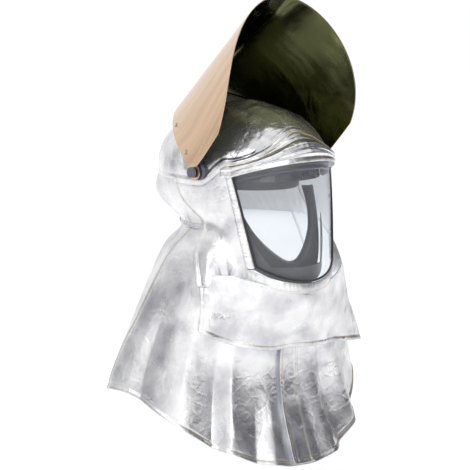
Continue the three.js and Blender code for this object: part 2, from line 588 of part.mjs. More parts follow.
// The gathered casings hold the clear visor's edges: one down each side and one under the chin.
const CASING_OFF = VISOR_OUT + FIT;
function sideCasing(side) {
  return bentSlab(3, 10, (u, v, w) => {
    const z = mix(WINDOW.bottomSideZ, WINDOW.topSideZ - HEM_GAP, v);
    const inner = mix(WINDOW.bottomAngle, WINDOW.topAngle, v);
    const angle = mix(inner, casingEdge(v), side > 0 ? u : 1 - u);
    return onFace(side * angle, z, CASING_OFF + CASING.wall * w);
  });
}
for (const [name, side] of SIDES) add(root, `casing_${name}`, sideCasing(side), SILVER);
const bottomAngle = WINDOW.bottomAngle + CASING.width / 2.3;
const bottomCasing = bentSlab(20, 2, (u, v, w) => {
  const s = 2 * u - 1;
  const z = windowBottom(s) - HEM_GAP - CASING.width * (1 - v);
  return onFace(s * bottomAngle, Math.min(z, WINDOW.bottomSideZ - HEM_GAP), CASING_OFF + CASING.wall * w);
});
add(root, "casing_bottom", bottomCasing, SILVER);

// Black binding rolled over the window's edge, down the sides and along the bottom.
function binding() {
  const points = [];
  const off = CASING_OFF - FIT + BINDING.r + 0.3;
  const inset = BINDING.r + 2 * FIT;
  const steps = 10;
  for (let i = 0; i <= steps; i++) {
    const v = 1 - i / steps;
    points.push(windowPoint(-1 + inset / 90, Math.max(v, 0.02), off));
  }
  for (let i = 1; i < steps; i++) points.push(windowPoint(mix(-1, 1, i / steps), 0.015, off));
  for (let i = 0; i <= steps; i++) points.push(windowPoint(1 - inset / 90, Math.max(i / steps, 0.02), off));
  const section = new THREE.Shape().absarc(0, 0, BINDING.r, 0, 2 * Math.PI);
  const path = new THREE.CatmullRomCurve3(points, false, "centripetal");
  const tube = new THREE.ExtrudeGeometry(section, {
    steps: 60, extrudePath: path, curveSegments: 4, bevelEnabled: false });
  return outwards(positionsOnly(tube));
}
add(root, "window_binding", binding(), BLACK);

// The bib hangs from under the window over the chest, free along its lower edge.
const bib = bentSlab(28, 6, (u, v, w) => {
  const s = 2 * u - 1;
  const left = s > 0;
  const k = clamp(Math.abs(s) * 1.5, 0, 1);
  const top = mix(WINDOW.bottomMidZ, WINDOW.bottomSideZ, k * k) - CASING.width - 2.5 * HEM_GAP;
  const edge = seamAngle(mix(BIB.rightZ, top, v), left ? BIB.leftAngle : BIB.rightAngle);
  const angle = s * (edge - 0.6);
  const z = mix(mix(BIB.midZ, left ? BIB.leftZ : BIB.rightZ, s * s), top, v);
  const out = left ? mix(BIB.out, BIB.leftOut, s * s) : BIB.out;
  const high = onFace(angle, z, 3 + CLOTH * w).lerp(onHood(angle, z, CLOTH * w), smooth(k));
  return high.lerp(onHood(angle, z, out + CLOTH * w), smooth(1 - v));
});
add(root, "bib_flap", bib, SILVER);

// Nape pouch: the gathered back of the hood, swelled over the ratchet.
const napePouch = bentSlab(24, 5, (u, v, w) => {
  const start = seamAngle(mix(NAPE.low, SEAM.sideZ, v)) + 1.8;
  const z = mix(NAPE.low, SEAM.sideZ - SEAM.gap, v);
  const swell = NAPE.bulge * Math.sin(Math.PI * u) * Math.sin(Math.PI * v);
  return onHood(mix(start, 360 - start, u), z, swell - CLOTH * (1 - w));
});
add(root, "nape_pouch", napePouch, SILVER);

// The cape: a back panel from seam to seam, and two front panels that lap under the closure strip.
const capeHem = (angle) => {
  const side = Math.abs(Math.sin(angle * RAD));
  const low = Math.cos(angle * RAD) > 0 ? CAPE.frontHemZ : CAPE.backHemZ;
  return mix(low, CAPE.sideHemZ, side ** 2.2);
};
const capeBack = bentSlab(26, 8, (u, v, w) => {
  const angle = mix(CAPE.seamAngle + 0.3, 360 - CAPE.seamAngle - 0.3, u);
  const top = NAPE.low - HEM_GAP;
  return onHood(angle, mix(capeHem(angle), top, v), -CLOTH * (1 - w));
});
add(root, "cape_back", capeBack, SILVER);
const capeFront = (side) => bentSlab(14, 8, (u, v, w) => {
  const angle = mix(0.4, CAPE.seamAngle - 0.3, side > 0 ? u : 1 - u);
  const top = mix(CAPE.frontTopZ, NAPE.low - HEM_GAP, smooth(clamp((angle - 45) / 40, 0, 1)));
  return onHood(side * angle, mix(capeHem(angle), top, v), -CAPE_IN - CLOTH * (1 - w));
});
for (const [name, side] of SIDES) add(root, `cape_front_${name}`, capeFront(side), SILVER);
const strip = bentSlab(2, 8, (u, v, w) => {
  const angle = mix(-STRIP.angle, STRIP.angle, u);
  return onHood(angle, mix(capeHem(angle) + 4, STRIP.top, v), STRIP.off + 2 * w);
});
add(root, "closure_strip", strip, SILVER);

export default root;
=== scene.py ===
import math
import bpy
import numpy as np
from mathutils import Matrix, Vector


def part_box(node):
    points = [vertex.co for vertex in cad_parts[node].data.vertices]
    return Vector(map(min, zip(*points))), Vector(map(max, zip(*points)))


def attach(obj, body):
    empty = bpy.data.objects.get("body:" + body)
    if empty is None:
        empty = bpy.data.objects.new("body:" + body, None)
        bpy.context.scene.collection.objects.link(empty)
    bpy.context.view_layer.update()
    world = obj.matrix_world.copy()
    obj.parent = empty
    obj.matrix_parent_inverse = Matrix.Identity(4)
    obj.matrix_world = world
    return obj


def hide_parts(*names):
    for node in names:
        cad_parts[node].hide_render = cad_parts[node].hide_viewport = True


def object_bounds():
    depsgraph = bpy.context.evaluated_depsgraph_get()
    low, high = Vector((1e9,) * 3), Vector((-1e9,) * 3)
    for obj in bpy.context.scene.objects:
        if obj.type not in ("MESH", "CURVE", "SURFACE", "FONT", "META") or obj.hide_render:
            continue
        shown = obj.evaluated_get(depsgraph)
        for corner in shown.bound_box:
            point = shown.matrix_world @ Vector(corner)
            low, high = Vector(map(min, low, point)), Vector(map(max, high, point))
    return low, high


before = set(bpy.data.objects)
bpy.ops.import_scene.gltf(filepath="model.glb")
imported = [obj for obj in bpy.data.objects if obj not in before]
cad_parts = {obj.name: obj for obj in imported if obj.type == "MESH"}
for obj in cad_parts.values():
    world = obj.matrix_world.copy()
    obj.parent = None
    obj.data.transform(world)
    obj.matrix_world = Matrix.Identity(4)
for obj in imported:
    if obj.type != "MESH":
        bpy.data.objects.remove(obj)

cad_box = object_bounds()


# ---- camera, floor and light ----
# A long lens from the wearer's front right, a little above the brow. The floor is pale, and the room is
# white with two greyer sides, so that metal cloth has something to mirror.
VIEW_TURN, VIEW_RISE, VIEW_REACH = math.radians(-40), math.radians(8), 4.0
VIEW_WIDTH = 0.752
VIEW_SIDE, VIEW_UP = -0.0152, -0.1136
back = Vector((math.sin(VIEW_TURN) * math.cos(VIEW_RISE),
               -math.cos(VIEW_TURN) * math.cos(VIEW_RISE), math.sin(VIEW_RISE)))
across = Vector((math.cos(VIEW_TURN), math.sin(VIEW_TURN), 0))
target = across * VIEW_SIDE + back.cross(across) * VIEW_UP
lens = bpy.data.cameras.new("camera")
lens.lens = 36 * VIEW_REACH / VIEW_WIDTH
camera = bpy.data.objects.new("camera", lens)
camera.location = target + back * VIEW_REACH
camera.rotation_euler = back.to_track_quat("Z", "Y").to_euler()
bpy.context.collection.objects.link(camera)
bpy.context.scene.camera = camera

FLOOR_DROP, FLOOR_HALF = 0.006, 6.0
floor_z = cad_box[0].z - FLOOR_DROP
floor_mesh = bpy.data.meshes.new("floor")
floor_mesh.from_pydata([(x * FLOOR_HALF, y * FLOOR_HALF, floor_z)
                        for x, y in ((-1, -1), (1, -1), (1, 1), (-1, 1))], [], [(0, 1, 2, 3)])
floor = bpy.data.objects.new("floor", floor_mesh)
bpy.context.collection.objects.link(floor)
floor_paint = bpy.data.materials.new("floor_paint")
floor_paint.use_nodes = True
floor_shader = floor_paint.node_tree.nodes["Principled BSDF"]
for socket, value in (("Base Color", (0.95, 0.95, 0.95, 1)), ("Roughness", 0.9),
                      ("Emission Color", (1, 1, 1, 1)), ("Emission Strength", 0.27)):
    floor_shader.inputs[socket].default_value = value
floor_mesh.materials.append(floor_paint)

bpy.context.scene.view_settings.view_transform = "Standard"
room = bpy.data.worlds.new("room")
bpy.context.scene.world = room
room.use_nodes = True
tree = room.node_tree
where = tree.nodes.new("ShaderNodeTexCoord")


def wire(item, inputs):
    """Sets a node's inputs by name: another node's output is linked, and a number is stored."""
    for socket, value in inputs.items():
        if isinstance(value, bpy.types.NodeSocket):
            item.id_data.links.new(value, item.inputs[socket])
        else:
            item.inputs[socket].default_value = value
    return item


def add_node(tree, kind, inputs):
    """A new shader node of a kind, with its inputs set."""
    return wire(tree.nodes.new("ShaderNode" + kind), inputs)


def ramp(tree, low, low_color, high, high_color, source):
    """The colour that a ramp from one colour at low to another at high gives for a source."""
    shade = add_node(tree, "ValToRGB", {"Fac": source})
    ends = shade.color_ramp.elements
    ends[0].position, ends[0].color = low, (*low_color, 1)
    ends[1].position, ends[1].color = high, (*high_color, 1)
    return shade.outputs["Color"]


def grey_side(heading, low, high, color):
    """A soft patch on the room's wall: white, then darker the nearer a direction is to its heading."""
    facing = tree.nodes.new("ShaderNodeVectorMath")
    facing.operation = "DOT_PRODUCT"
    facing.inputs[1].default_value = Vector(heading).normalized()
    tree.links.new(where.outputs["Generated"], facing.inputs[0])
    return ramp(tree, low, (1, 1, 1), high, color, facing.outputs["Value"])


both_sides = tree.nodes.new("ShaderNodeMix")
both_sides.data_type, both_sides.blend_type = "RGBA", "MULTIPLY"
both_sides.inputs["Factor"].default_value = 1.0
tree.links.new(grey_side((0.86, -0.5, -0.1), 0.29, 0.66, (0.08, 0.08, 0.095)), both_sides.inputs[6])
tree.links.new(grey_side((-0.85, 0.5, 0.15), 0.74, 0.98, (0.42, 0.42, 0.44)), both_sides.inputs[7])
tree.links.new(both_sides.outputs[2], tree.nodes["Background"].inputs["Color"])
tree.nodes["Background"].inputs["Strength"].default_value = 1.0


def softbox(name, place, aim, width, power):
    """An area light at a place that faces a point."""
    data = bpy.data.lights.new(name, "AREA")
    data.shape = "SQUARE"
    data.size = width
    data.energy = power
    lamp = bpy.data.objects.new(name, data)
    lamp.location = place
    lamp.rotation_euler = (Vector(place) - Vector(aim)).to_track_quat("Z", "Y").to_euler()
    bpy.context.collection.objects.link(lamp)


softbox("key_light", (-1.9, -0.9, 1.3), (0, 0, -0.15), 0.9, 6)
softbox("top_light", (0.2, 0.6, 2.0), (0, 0, 0), 1.0, 7)
softbox("face_light", (-0.9, -1.9, 0.5), (0, -0.05, -0.05), 1.3, 5)


# ---- the hood's cloth: its shape, its folds and its finish ----
# Aluminised glass cloth, bonded to a pale lining. Stiff and springy, so it creases in sharp short lines
# and hangs from the brow in broad folds.
hood_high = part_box("crown_cover")[1]
HOOD_A, HOOD_TOP = hood_high.x, hood_high.z
HOOD_B = 0.150
FACE_A, FACE_B = HOOD_A - 0.005, HOOD_B + 0.005
# Height, half-width, half-depth and centre along Y of the hood's sections, from the pivots down.
SECTIONS = np.array([
    (0.0, HOOD_A, HOOD_B, 0.0), (-0.045, HOOD_A - 0.005, HOOD_B - 0.002, -0.002),
    (-0.085, HOOD_A - 0.015, HOOD_B - 0.024, -0.026), (-0.126, HOOD_A + 0.017, HOOD_B - 0.013, -0.014),
    (-0.176, HOOD_A + 0.044, HOOD_B - 0.009, -0.006), (-0.242, 0.190, HOOD_B - 0.016, 0.014),
    (-0.282, 0.207, HOOD_B - 0.018, 0.024), (-0.360, 0.231, HOOD_B - 0.004, 0.034),
    (-0.480, 0.244, HOOD_B + 0.037, 0.034)])


rad = np.radians


def mix(a, b, t):
    """The value that lies t of the way from a to b."""
    return a + (b - a) * t


def ease(t):
    """A smooth step from 0 to 1, level at both ends."""
    k = np.clip(t, 0, 1)
    return k * k * (3 - 2 * k)


def lengths(points, axis):
    """Length run along a grid's axis from its first line to each point."""
    steps = np.linalg.norm(np.diff(points, axis=axis), axis=-1)
    return np.cumsum(np.pad(steps, ((1, 0), (0, 0)) if axis == 0 else ((0, 0), (1, 0))), axis=axis)


def section(z):
    """Half-width, half-depth and centre at a height: an ellipsoid above the pivots, and below them cubic
    curves through the named sections, each with the slope of its neighbours' chord."""
    heights, values = SECTIONS[:, 0], SECTIONS[:, 1:]
    slopes = np.gradient(values, heights, axis=0)
    slopes[0] = 0
    low = np.clip(np.searchsorted(-heights, -z) - 1, 0, len(heights) - 2)
    span = heights[low + 1] - heights[low]
    t = np.clip((z - heights[low]) / span, 0, 1)[..., None]
    p, q = values[low], values[low + 1]
    m, n = slopes[low] * span[..., None], slopes[low + 1] * span[..., None]
    s = ((2 * t**3 - 3 * t**2 + 1) * p + (t**3 - 2 * t**2 + t) * m
         + (-2 * t**3 + 3 * t**2) * q + (t**3 - t**2) * n)
    dome = np.sqrt(np.clip(1 - (np.maximum(z, 0) / HOOD_TOP) ** 2, 0, 1))[..., None]
    return s * np.where(z[..., None] > 0, dome, 1)


def on_hood(angle, z, off=0.0):
    """The point of the hood at an angle in degrees from the front and a height, off outwards."""
    z = z + 0 * angle
    a, b, middle = np.moveaxis(section(z), -1, 0)
    t = rad(angle)
    return np.stack([(a + off) * np.sin(t), middle - (b + off) * np.cos(t), z], -1)


def on_face(angle, z, off=0.0):
    """The same on the upright elliptic cylinder that carries the clear visor."""
    t = rad(angle) + 0 * z
    return np.stack([(FACE_A + off) * np.sin(t), -(FACE_B + off) * np.cos(t), z + 0 * t], -1)


def lattice(points, cell, seed):
    """Smooth lattice noise from -1 to 1: eight hashed corner values blended by eased distances."""
    q = points / cell + seed * 7.31
    i = np.floor(q).astype(np.int64)
    f = q - i
    f = f * f * (3 - 2 * f)
    total = 0
    for corner in range(8):
        step = np.array([corner & 1, corner >> 1 & 1, corner >> 2 & 1])
        n = (i + step) @ np.array([374761393, 668265263, 1442695041]) + seed * 987643
        n = (n ^ (n >> 13)) * 1274126177
        value = ((n ^ (n >> 16)) & 0xFFFF) / 32767.5 - 1
        total = total + value * np.prod(np.where(step == 1, f, 1 - f), axis=-1)
    return total


def creased(points, cell, seed):
    """Sharp-edged creases: one minus the size of the noise, bent towards its crests."""
    return (1 - np.abs(lattice(points, cell, seed))) ** 3 - 0.35


STRETCH = np.array([1.0, 1.0, 0.36])
# Long folds below the neck: angle at the hem, lean in degrees for each metre up, half-width, depth, top.
FOLDS = [(-47, -14, 5.5, -0.011, -0.20), (-40, -6, 5, 0.006, -0.22), (-27, 10, 6, -0.004, -0.27),
         (-17, 16, 5, 0.003, -0.26), (-9, 10, 4, -0.002, -0.30), (14, -30, 6, -0.006, -0.26),
         (24, -30, 6, 0.005, -0.24), (36, -34, 7, -0.008, -0.22), (49, -30, 7, 0.007, -0.20),
         (62, -20, 6, -0.007, -0.16), (-62, -10, 7, 0.006, -0.16), (-78, -24, 6, -0.007, -0.12),
         (-92, -30, 6, 0.006, -0.12), (-108, -20, 6, -0.006, -0.10), (80, 20, 7, 0.006, -0.12),
         (98, 20, 6, -0.007, -0.10), (118, 10, 7, 0.007, -0.12), (137, 0, 6, -0.008, -0.12),
         (156, -8, 7, 0.007, -0.12), (176, 0, 6, -0.009, -0.12), (-160, 8, 7, 0.008, -0.12),
         (-141, 10, 6, -0.008, -0.12), (-124, 12, 6, 0.006, -0.12)]


def hang(angle, z):
    """How far the folds lift the cloth: each is a bell across a line that leans, and deepens downwards."""
    lift = np.zeros_like(z + angle)
    for hem_angle, lean, width, depth, top in FOLDS:
        line = hem_angle + lean * (z + 0.46)
        apart = (angle - line + 180) % 360 - 180
        lift += depth * np.exp(-np.abs(apart / width) ** 1.5) * ease((top - z) / 0.16)
    return lift


def crumple(points):
    """Fine crumpling of the stiff cloth: three sizes of creases, longer downwards than across."""
    p = points * STRETCH
    return (0.0022 * lattice(p, 0.050, 3) + 0.0008 * creased(p, 0.036, 5)
            + 0.0005 * lattice(p, 0.016, 8) + 0.0002 * creased(points * [1, 1, 0.7], 0.011, 11))


SEAM_LAP, SEAM_LIFT = 0.006, 0.0011
GROOVE_IN, GROOVE_WIDE, GROOVE_DEEP = 0.0085, 0.0018, 0.00044  # the stitched line beside the lap


def edge_roll(points, edges):
    """A turned edge: cloth stands a little proud within a lap's width of the named edges."""
    run = lengths(points, 1)
    rise = lengths(points, 0)
    apart = {"start": run, "end": run[:, -1:] - run, "low": rise, "high": rise[-1:] - rise}
    lift = np.zeros(run.shape)
    for edge in edges:
        d = apart[edge]
        lift += SEAM_LIFT * np.exp(-(d / SEAM_LAP) ** 4)
        lift -= GROOVE_DEEP * np.exp(-((d - GROOVE_IN) / GROOVE_WIDE) ** 2)
    return lift


def finish(name, color, rough, metal=0.0, **sockets):
    """A Principled finish with its constants on the shader's own sockets."""
    paint = bpy.data.materials.new(name)
    paint.use_nodes = True
    wire(paint.node_tree.nodes["Principled BSDF"],
         {"Base Color": (*color, 1), "Roughness": rough, "Metallic": metal,
          **{socket.replace("_", " "): value for socket, value in sockets.items()}})
    return paint


def grained(paint, scale, depth, rough_low, rough_high):
    """Adds an all-over grain: noise sets the roughness between two values and lifts the surface."""
    tree = paint.node_tree
    place = tree.nodes.new("ShaderNodeTexCoord").outputs["Object"]
    grain = add_node(tree, "TexNoise", {"Scale": scale, "Detail": 4, "Vector": place}).outputs["Fac"]
    reach = add_node(tree, "MapRange", {"To Min": rough_low, "To Max": rough_high, "Value": grain})
    bump = add_node(tree, "Bump", {"Distance": depth, "Strength": 0.6, "Height": grain})
    wire(tree.nodes["Principled BSDF"],
         {"Roughness": reach.outputs["Result"], "Normal": bump.outputs["Normal"]})
    return paint


WEAVE_SCALE, CRACK_SCALE = 220, 46


def silver_cloth(name, gloss, worn):
    """Aluminised cloth: metal with a woven bump, and creases that noise lays in at two sizes."""
    paint = finish(name, (0.90, 0.90, 0.915), 0.3, 0.92)
    tree = paint.node_tree
    shader = tree.nodes["Principled BSDF"]
    place = tree.nodes.new("ShaderNodeTexCoord").outputs

    def noise(scale, detail):
        return add_node(tree, "TexNoise", {"Scale": scale, "Detail": detail,
                                       "Vector": place["Object"]}).outputs["Fac"]

    rough = add_node(tree, "MapRange", {"From Min": 0.3, "From Max": 0.7, "To Min": gloss,
                                    "To Max": gloss + worn, "Value": noise(34, 6)})
    tone = ramp(tree, 0.34, (0.57, 0.57, 0.60), 0.60, (0.84, 0.84, 0.845), noise(22, 8))
    wire(shader, {"Roughness": rough.outputs["Result"], "Base Color": tone})

    cracks = tree.nodes.new("ShaderNodeTexVoronoi")
    cracks.feature = "DISTANCE_TO_EDGE"
    wire(cracks, {"Scale": CRACK_SCALE, "Vector": place["Object"]})
    crack_fade = add_node(tree, "MapRange", {"From Max": 0.12, "Value": cracks.outputs["Distance"]})
    crossed = tree.nodes.new("ShaderNodeMath")
    crossed.operation = "MULTIPLY"
    for k, direction in enumerate("XY"):
        thread = add_node(tree, "TexWave", {"Scale": WEAVE_SCALE, "Vector": place["UV"]})
        thread.bands_direction = direction
        tree.links.new(thread.outputs["Fac"], crossed.inputs[k])

    normal = None
    for source, distance, strength in (
            (noise(48, 5), 0.0022, 0.38), (crack_fade.outputs["Result"], 0.0006, 0.22),
            (noise(150, 3), 0.0006, 0.4), (crossed.outputs["Value"], 0.00012, 0.3)):
        bump = add_node(tree, "Bump", {"Distance": distance, "Strength": strength, "Height": source})
        if normal is not None:
            wire(bump, {"Normal": normal})
        normal = bump.outputs["Normal"]
    wire(shader, {"Normal": normal})
    return paint


silver = silver_cloth("silver_cloth", 0.22, 0.20)
fresh_silver = silver_cloth("fresh_silver_cloth", 0.13, 0.16)
# The lining glows faintly. Its emission is painted light, which stands in for light reaching the inside of
# the hood through the window.
lining = grained(finish("pale_lining_painted_glow", (0.84, 0.85, 0.87), 0.8, 0.0, Sheen_Weight=0.2,
                         Emission_Color=(0.9, 0.95, 1.0, 1), Emission_Strength=0.22), 300, 0.0004, 0.7, 0.9)
CLOTH_WALL = 0.0012
# Cloth allowed across and down a panel: none where it is fitted, a little for hanging folds.
FITTED, FOLDED = (1.0, 1.0), (1.06, 1.0)
# ---- window: where its edges run ----
# The window is wider at the brow than at the chin, and its top and bottom edges arch.
WINDOW_TOP_ANGLE, WINDOW_LOW_ANGLE = 56, 41
TOP_SIDE_Z, TOP_MIDDLE_Z, LOW_SIDE_Z, LOW_MIDDLE_Z = -0.005, 0.019, -0.146, -0.172
CASING_TURN = 6.5


def window_top(s):
    """Height of the top edge, with s from -1 at the right to 1 at the left."""
    return mix(TOP_MIDDLE_Z, TOP_SIDE_Z, s * s)


def window_low(s):
    """Height of the bottom edge, by the same s."""
    return mix(LOW_MIDDLE_Z, LOW_SIDE_Z, s * s)


def casing_edge(v):
    """Angle of a side casing's outer edge, from the window's bottom to its top."""
    return mix(WINDOW_LOW_ANGLE, WINDOW_TOP_ANGLE, v) + CASING_TURN


def crown_edge(angle):
    """Height of the crown's sewn edge: high over the brow, eased down to the ears and level behind."""
    t = np.abs(angle)
    corner = TOP_SIDE_Z + 0.020
    front = mix(corner, 0.060, ease(1 - t / 57))
    return np.where(t < 57, front, mix(corner, -0.017, ease((t - 57) / 21)))


# ---- crown cover ----
# The hood's top: one moulded dome of cloth, darted over the helmet. Like every panel it is a grid of
# points, set off along its normals and given a wall behind.
def spread(surface, nu, nv):
    """Evaluates surface(u, v), with u and v from 0 to 1, on a grid of nu by nv cells."""
    u, v = np.meshgrid(np.linspace(0, 1, nu + 1), np.linspace(0, 1, nv + 1))
    return surface(u, v)


def upright(points):
    """Unit normals of a grid: the cross product of its two running directions."""
    n = np.cross(np.gradient(points, axis=1), np.gradient(points, axis=0))
    return n / np.maximum(np.linalg.norm(n, axis=-1, keepdims=True), 1e-12)


def grid_faces(rows, cols, first=0, turned=False):
    """Quads of a grid of rows by cols points, numbered from first."""
    a = first + np.arange((rows - 1) * cols).reshape(rows - 1, cols)[:, :-1].ravel()
    quads = np.stack([a, a + 1, a + cols + 1, a + cols], -1)
    return quads[:, ::-1] if turned else quads


def rim_faces(rows, cols):
    """Quads that join the border of one grid to the border of a copy numbered after it."""
    count = rows * cols
    at = np.arange(count).reshape(rows, cols)
    loop = np.concatenate([at[0], at[1:, -1], at[-1, -2::-1], at[-2:0:-1, 0]])
    after = np.roll(loop, -1)
    return np.stack([loop, loop + count, after + count, after], -1)


def new_piece(name, points, faces, body, slot, paints, paint_of=None, uv=None, smooth=True):
    """A mesh object from arrays: it rides on a body, with its finishes in order. Its slot is not used."""
    mesh = bpy.data.meshes.new(name)
    mesh.from_pydata(points.reshape(-1, 3).tolist(), [], [list(f) for f in faces])
    for paint in paints:
        mesh.materials.append(paint)
    if paint_of is not None:
        mesh.polygons.foreach_set("material_index", np.asarray(paint_of, np.int32))
    mesh.polygons.foreach_set("use_smooth", np.full(len(mesh.polygons), smooth))
    if uv is not None:
        layer = mesh.uv_layers.new(name="cloth")
        corner = np.empty(len(mesh.loops), np.int32)
        mesh.loops.foreach_get("vertex_index", corner)
        layer.data.foreach_set("uv", uv.reshape(-1, 2)[corner].astype(np.float32).ravel())
    mesh.update()
    piece = bpy.data.objects.new(name, mesh)
    bpy.context.collection.objects.link(piece)
    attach(piece, body)
    return piece


def skin(name, points, wall, body, slot, paints, outside=1):
    """A closed shell: the given grid outside, a copy set back by wall inside, and a rim between them."""
    rows, cols = points.shape[:2]
    inner = points - upright(points) * wall * outside
    both = np.concatenate([points.reshape(-1, 3), inner.reshape(-1, 3)])
    flip = outside < 0
    outer_quads = grid_faces(rows, cols, 0, flip)
    inner_quads = grid_faces(rows, cols, rows * cols, not flip)
    rim = rim_faces(rows, cols)[:, ::-1] if flip else rim_faces(rows, cols)
    faces = np.concatenate([outer_quads, inner_quads, rim])
    paint_of = np.concatenate([np.zeros(len(outer_quads)), np.full(len(inner_quads), len(paints) - 1),
                               np.zeros(len(rim))])
    run = lengths(points, 1)
    rise = lengths(points, 0)
    uv = np.stack([run - run[:, -1:] / 2, rise], -1)
    return new_piece(name, both, faces, body, slot, paints, paint_of, np.concatenate([uv, uv]))


panels = {}


def cloth_panel(name, surface, cells, nodes, fullness, edges=(), layer=0.0,
                folds=1.0, rough=1.0, cloth=None):
    """A sewn panel: the surface, set off by its layer, its folds, its crumpling and its rolled edges.

    Its longest runs across and down on the smooth surface are measured, each way times its fullness, which is
    the cloth allowed for folds or gathers, and then not used. Nothing of the folded result goes into them.
    """
    points = spread(surface, *cells)
    out = upright(points)
    middle = np.stack([0 * points[..., 0], section(points[..., 2])[..., 2], points[..., 2]], -1)
    if np.sum((points - middle) * out) < 0:
        out = -out
    angle = np.degrees(np.arctan2(points[..., 0], -(points[..., 1] - middle[..., 1])))
    lift = layer + folds * hang(angle, points[..., 2]) + rough * crumple(points) + edge_roll(points, edges)
    laid = points + out * lift[..., None]
    normal = upright(laid)
    side = 1 if np.sum(normal * out) > 0 else -1
    piece = skin(name, laid, CLOTH_WALL, "hood", "aluminised_cloth", [cloth or silver, lining], side)
    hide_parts(*nodes)
    width = fullness[0] * np.linalg.norm(np.diff(points, axis=1), axis=-1).sum(1).max()
    length = fullness[1] * np.linalg.norm(np.diff(points, axis=0), axis=-1).sum(0).max()
    panels[name] = (laid, normal * side)
    return piece


def crown_surface(u, v):
    """A dome by angle and by rise, from its sewn edge at v = 0 to the top at v = 1."""
    angle = mix(-180, 180, u)
    lift = mix(np.arcsin(np.clip(crown_edge(angle) / HOOD_TOP, -0.4, 1)), rad(89.4), v)
    t = rad(angle)
    return np.stack([HOOD_A * np.cos(lift) * np.sin(t), -HOOD_B * np.cos(lift) * np.cos(t),
                     HOOD_TOP * np.sin(lift)], -1)


cloth_panel("crown_cover_cloth", crown_surface, (300, 90), ["crown_cover"], FITTED, ("low",), 0.0022,
            folds=0.0, rough=1.6, cloth=fresh_silver)

# ---- brow panel ----
# Stands out over the clear visor's top edge, and pleats that fan from the window's corners shape it back
# onto the crown.
BROW_OUT, BROW_ON_HOOD, BROW_SEAT, LAP = 0.0078, 0.0038, 0.012, 0.004
# Each pleat: where it lies from the window's edge to the crown's seam, its half-width and its depth.
PLEATS = [(0.30, 0.055, 0.0020), (0.42, 0.05, -0.0022), (0.62, 0.05, 0.0022), (0.72, 0.04, -0.0024),
          (0.90, 0.05, 0.0018)]


def brow_surface(u, v):
    """From the window's edge up to the crown's seam: upright first, then eased back onto the dome."""
    angle = mix(-WINDOW_TOP_ANGLE - CASING_TURN, WINDOW_TOP_ANGLE + CASING_TURN, u)
    low = window_top(np.clip(angle / WINDOW_TOP_ANGLE, -1, 1)) - 0.001
    high = crown_edge(angle) + LAP
    z = mix(low, high, v)
    lean = ease((z - low - BROW_SEAT) / np.maximum(high - low - BROW_SEAT, 0.008))
    fan = ease((60 - np.abs(angle)) / 24)
    pleat = sum(depth * np.exp(-((v - at) / width) ** 2) for at, width, depth in PLEATS) * fan
    seat, top = on_face(angle, z, BROW_OUT + pleat), on_hood(angle, z, BROW_ON_HOOD + pleat)
    return mix(seat, top, lean[..., None])


cloth_panel("brow_panel_cloth", brow_surface, (260, 70), ["brow_panel"], FITTED, ("low", "high"), 0.0,
            folds=0.0, rough=0.9, cloth=fresh_silver)


# ---- face aprons ----
# One each side of the window, from the gathered casing back to the long side seam.
RIGHT_SEAM, LEFT_SEAM = 50, 62
APRON_LOW, APRON_ON_FACE, APRON_ON_HOOD = LOW_SIDE_Z - 0.024, 0.0050, 0.0030


def seam_angle(z, low=RIGHT_SEAM):
    """The side seam's angle at a height: behind the ear at the top, forward to the bib's corner."""
    t = np.clip((-0.020 - z) / 0.222, 0, 1)
    return mix(97, low, 0.5 * ease(t) + 0.5 * t)


def apron_surface(side):
    """The apron of one side: on the window's upright face in front and on the hood behind."""
    def surface(u, v):
        k = u if side > 0 else 1 - u
        rough = mix(APRON_LOW, TOP_SIDE_Z, v)
        near = casing_edge(np.clip((rough - LOW_SIDE_Z) / (TOP_SIDE_Z - LOW_SIDE_Z), 0, 1))
        angle = mix(near - 0.6, seam_angle(rough, LEFT_SEAM if side > 0 else RIGHT_SEAM) + 1.5, k)
        z = mix(APRON_LOW - LAP, crown_edge(angle) + LAP, v)
        points = mix(on_face(angle, z, APRON_ON_FACE), on_hood(angle, z, APRON_ON_HOOD),
                     ease((k - 0.1) / 0.6)[..., None])
        return points * np.array([side, 1, 1])
    return surface


for name, side in (("right", -1), ("left", 1)):
    seam_side = "end" if side > 0 else "start"
    cloth_panel(f"apron_{name}_cloth", apron_surface(side), (110, 150), [f"apron_{name}"], FITTED,
                ("high", seam_side), 0.0008, folds=0.6, rough=1.0)

# ---- gathered casings ----
# Channels with elastic in them, which pull the window's edge tight onto the clear visor and pucker.
ELASTIC = 1.3  # cloth cut for each length of drawn-up elastic
CASING_WIDTH, CASING_OFF, CASING_FULL, CHIN_PROUD, CHIN_GAP = 0.0163, 0.0026, 0.0016, 0.0014, 0.0008
PUCKER, PUCKER_PITCH, PUCKER_DRIFT = 0.0007, 0.0082, 0.031


def puckers(along, across):
    """Puckers of an elastic channel: ribs of uneven width that fade out at both stitched edges."""
    drift = 2.2 * np.sin(along * 2 * np.pi / PUCKER_DRIFT)
    ribs = np.sin(along * 2 * np.pi / PUCKER_PITCH + drift)
    return PUCKER * ribs * np.sin(np.pi * across) ** 1.2 + CASING_FULL * np.sin(np.pi * across)


def side_casing_surface(side):
    """A channel up the window's side, one casing width across."""
    def surface(u, v):
        z = mix(LOW_SIDE_Z - 0.002, TOP_SIDE_Z + 0.004, v)
        inner = mix(WINDOW_LOW_ANGLE, WINDOW_TOP_ANGLE, v)
        k = u if side > 0 else 1 - u
        angle = mix(inner, casing_edge(v) + 0.6, k)
        return on_face(angle, z, CASING_OFF + puckers(z, k)) * np.array([side, 1, 1])
    return surface


for name, side in (("right", -1), ("left", 1)):
    cloth_panel(f"casing_{name}_cloth", side_casing_surface(side), (16, 190), [f"casing_{name}"],
                (1.0, ELASTIC), (), 0.0, folds=0.0, rough=0.35)


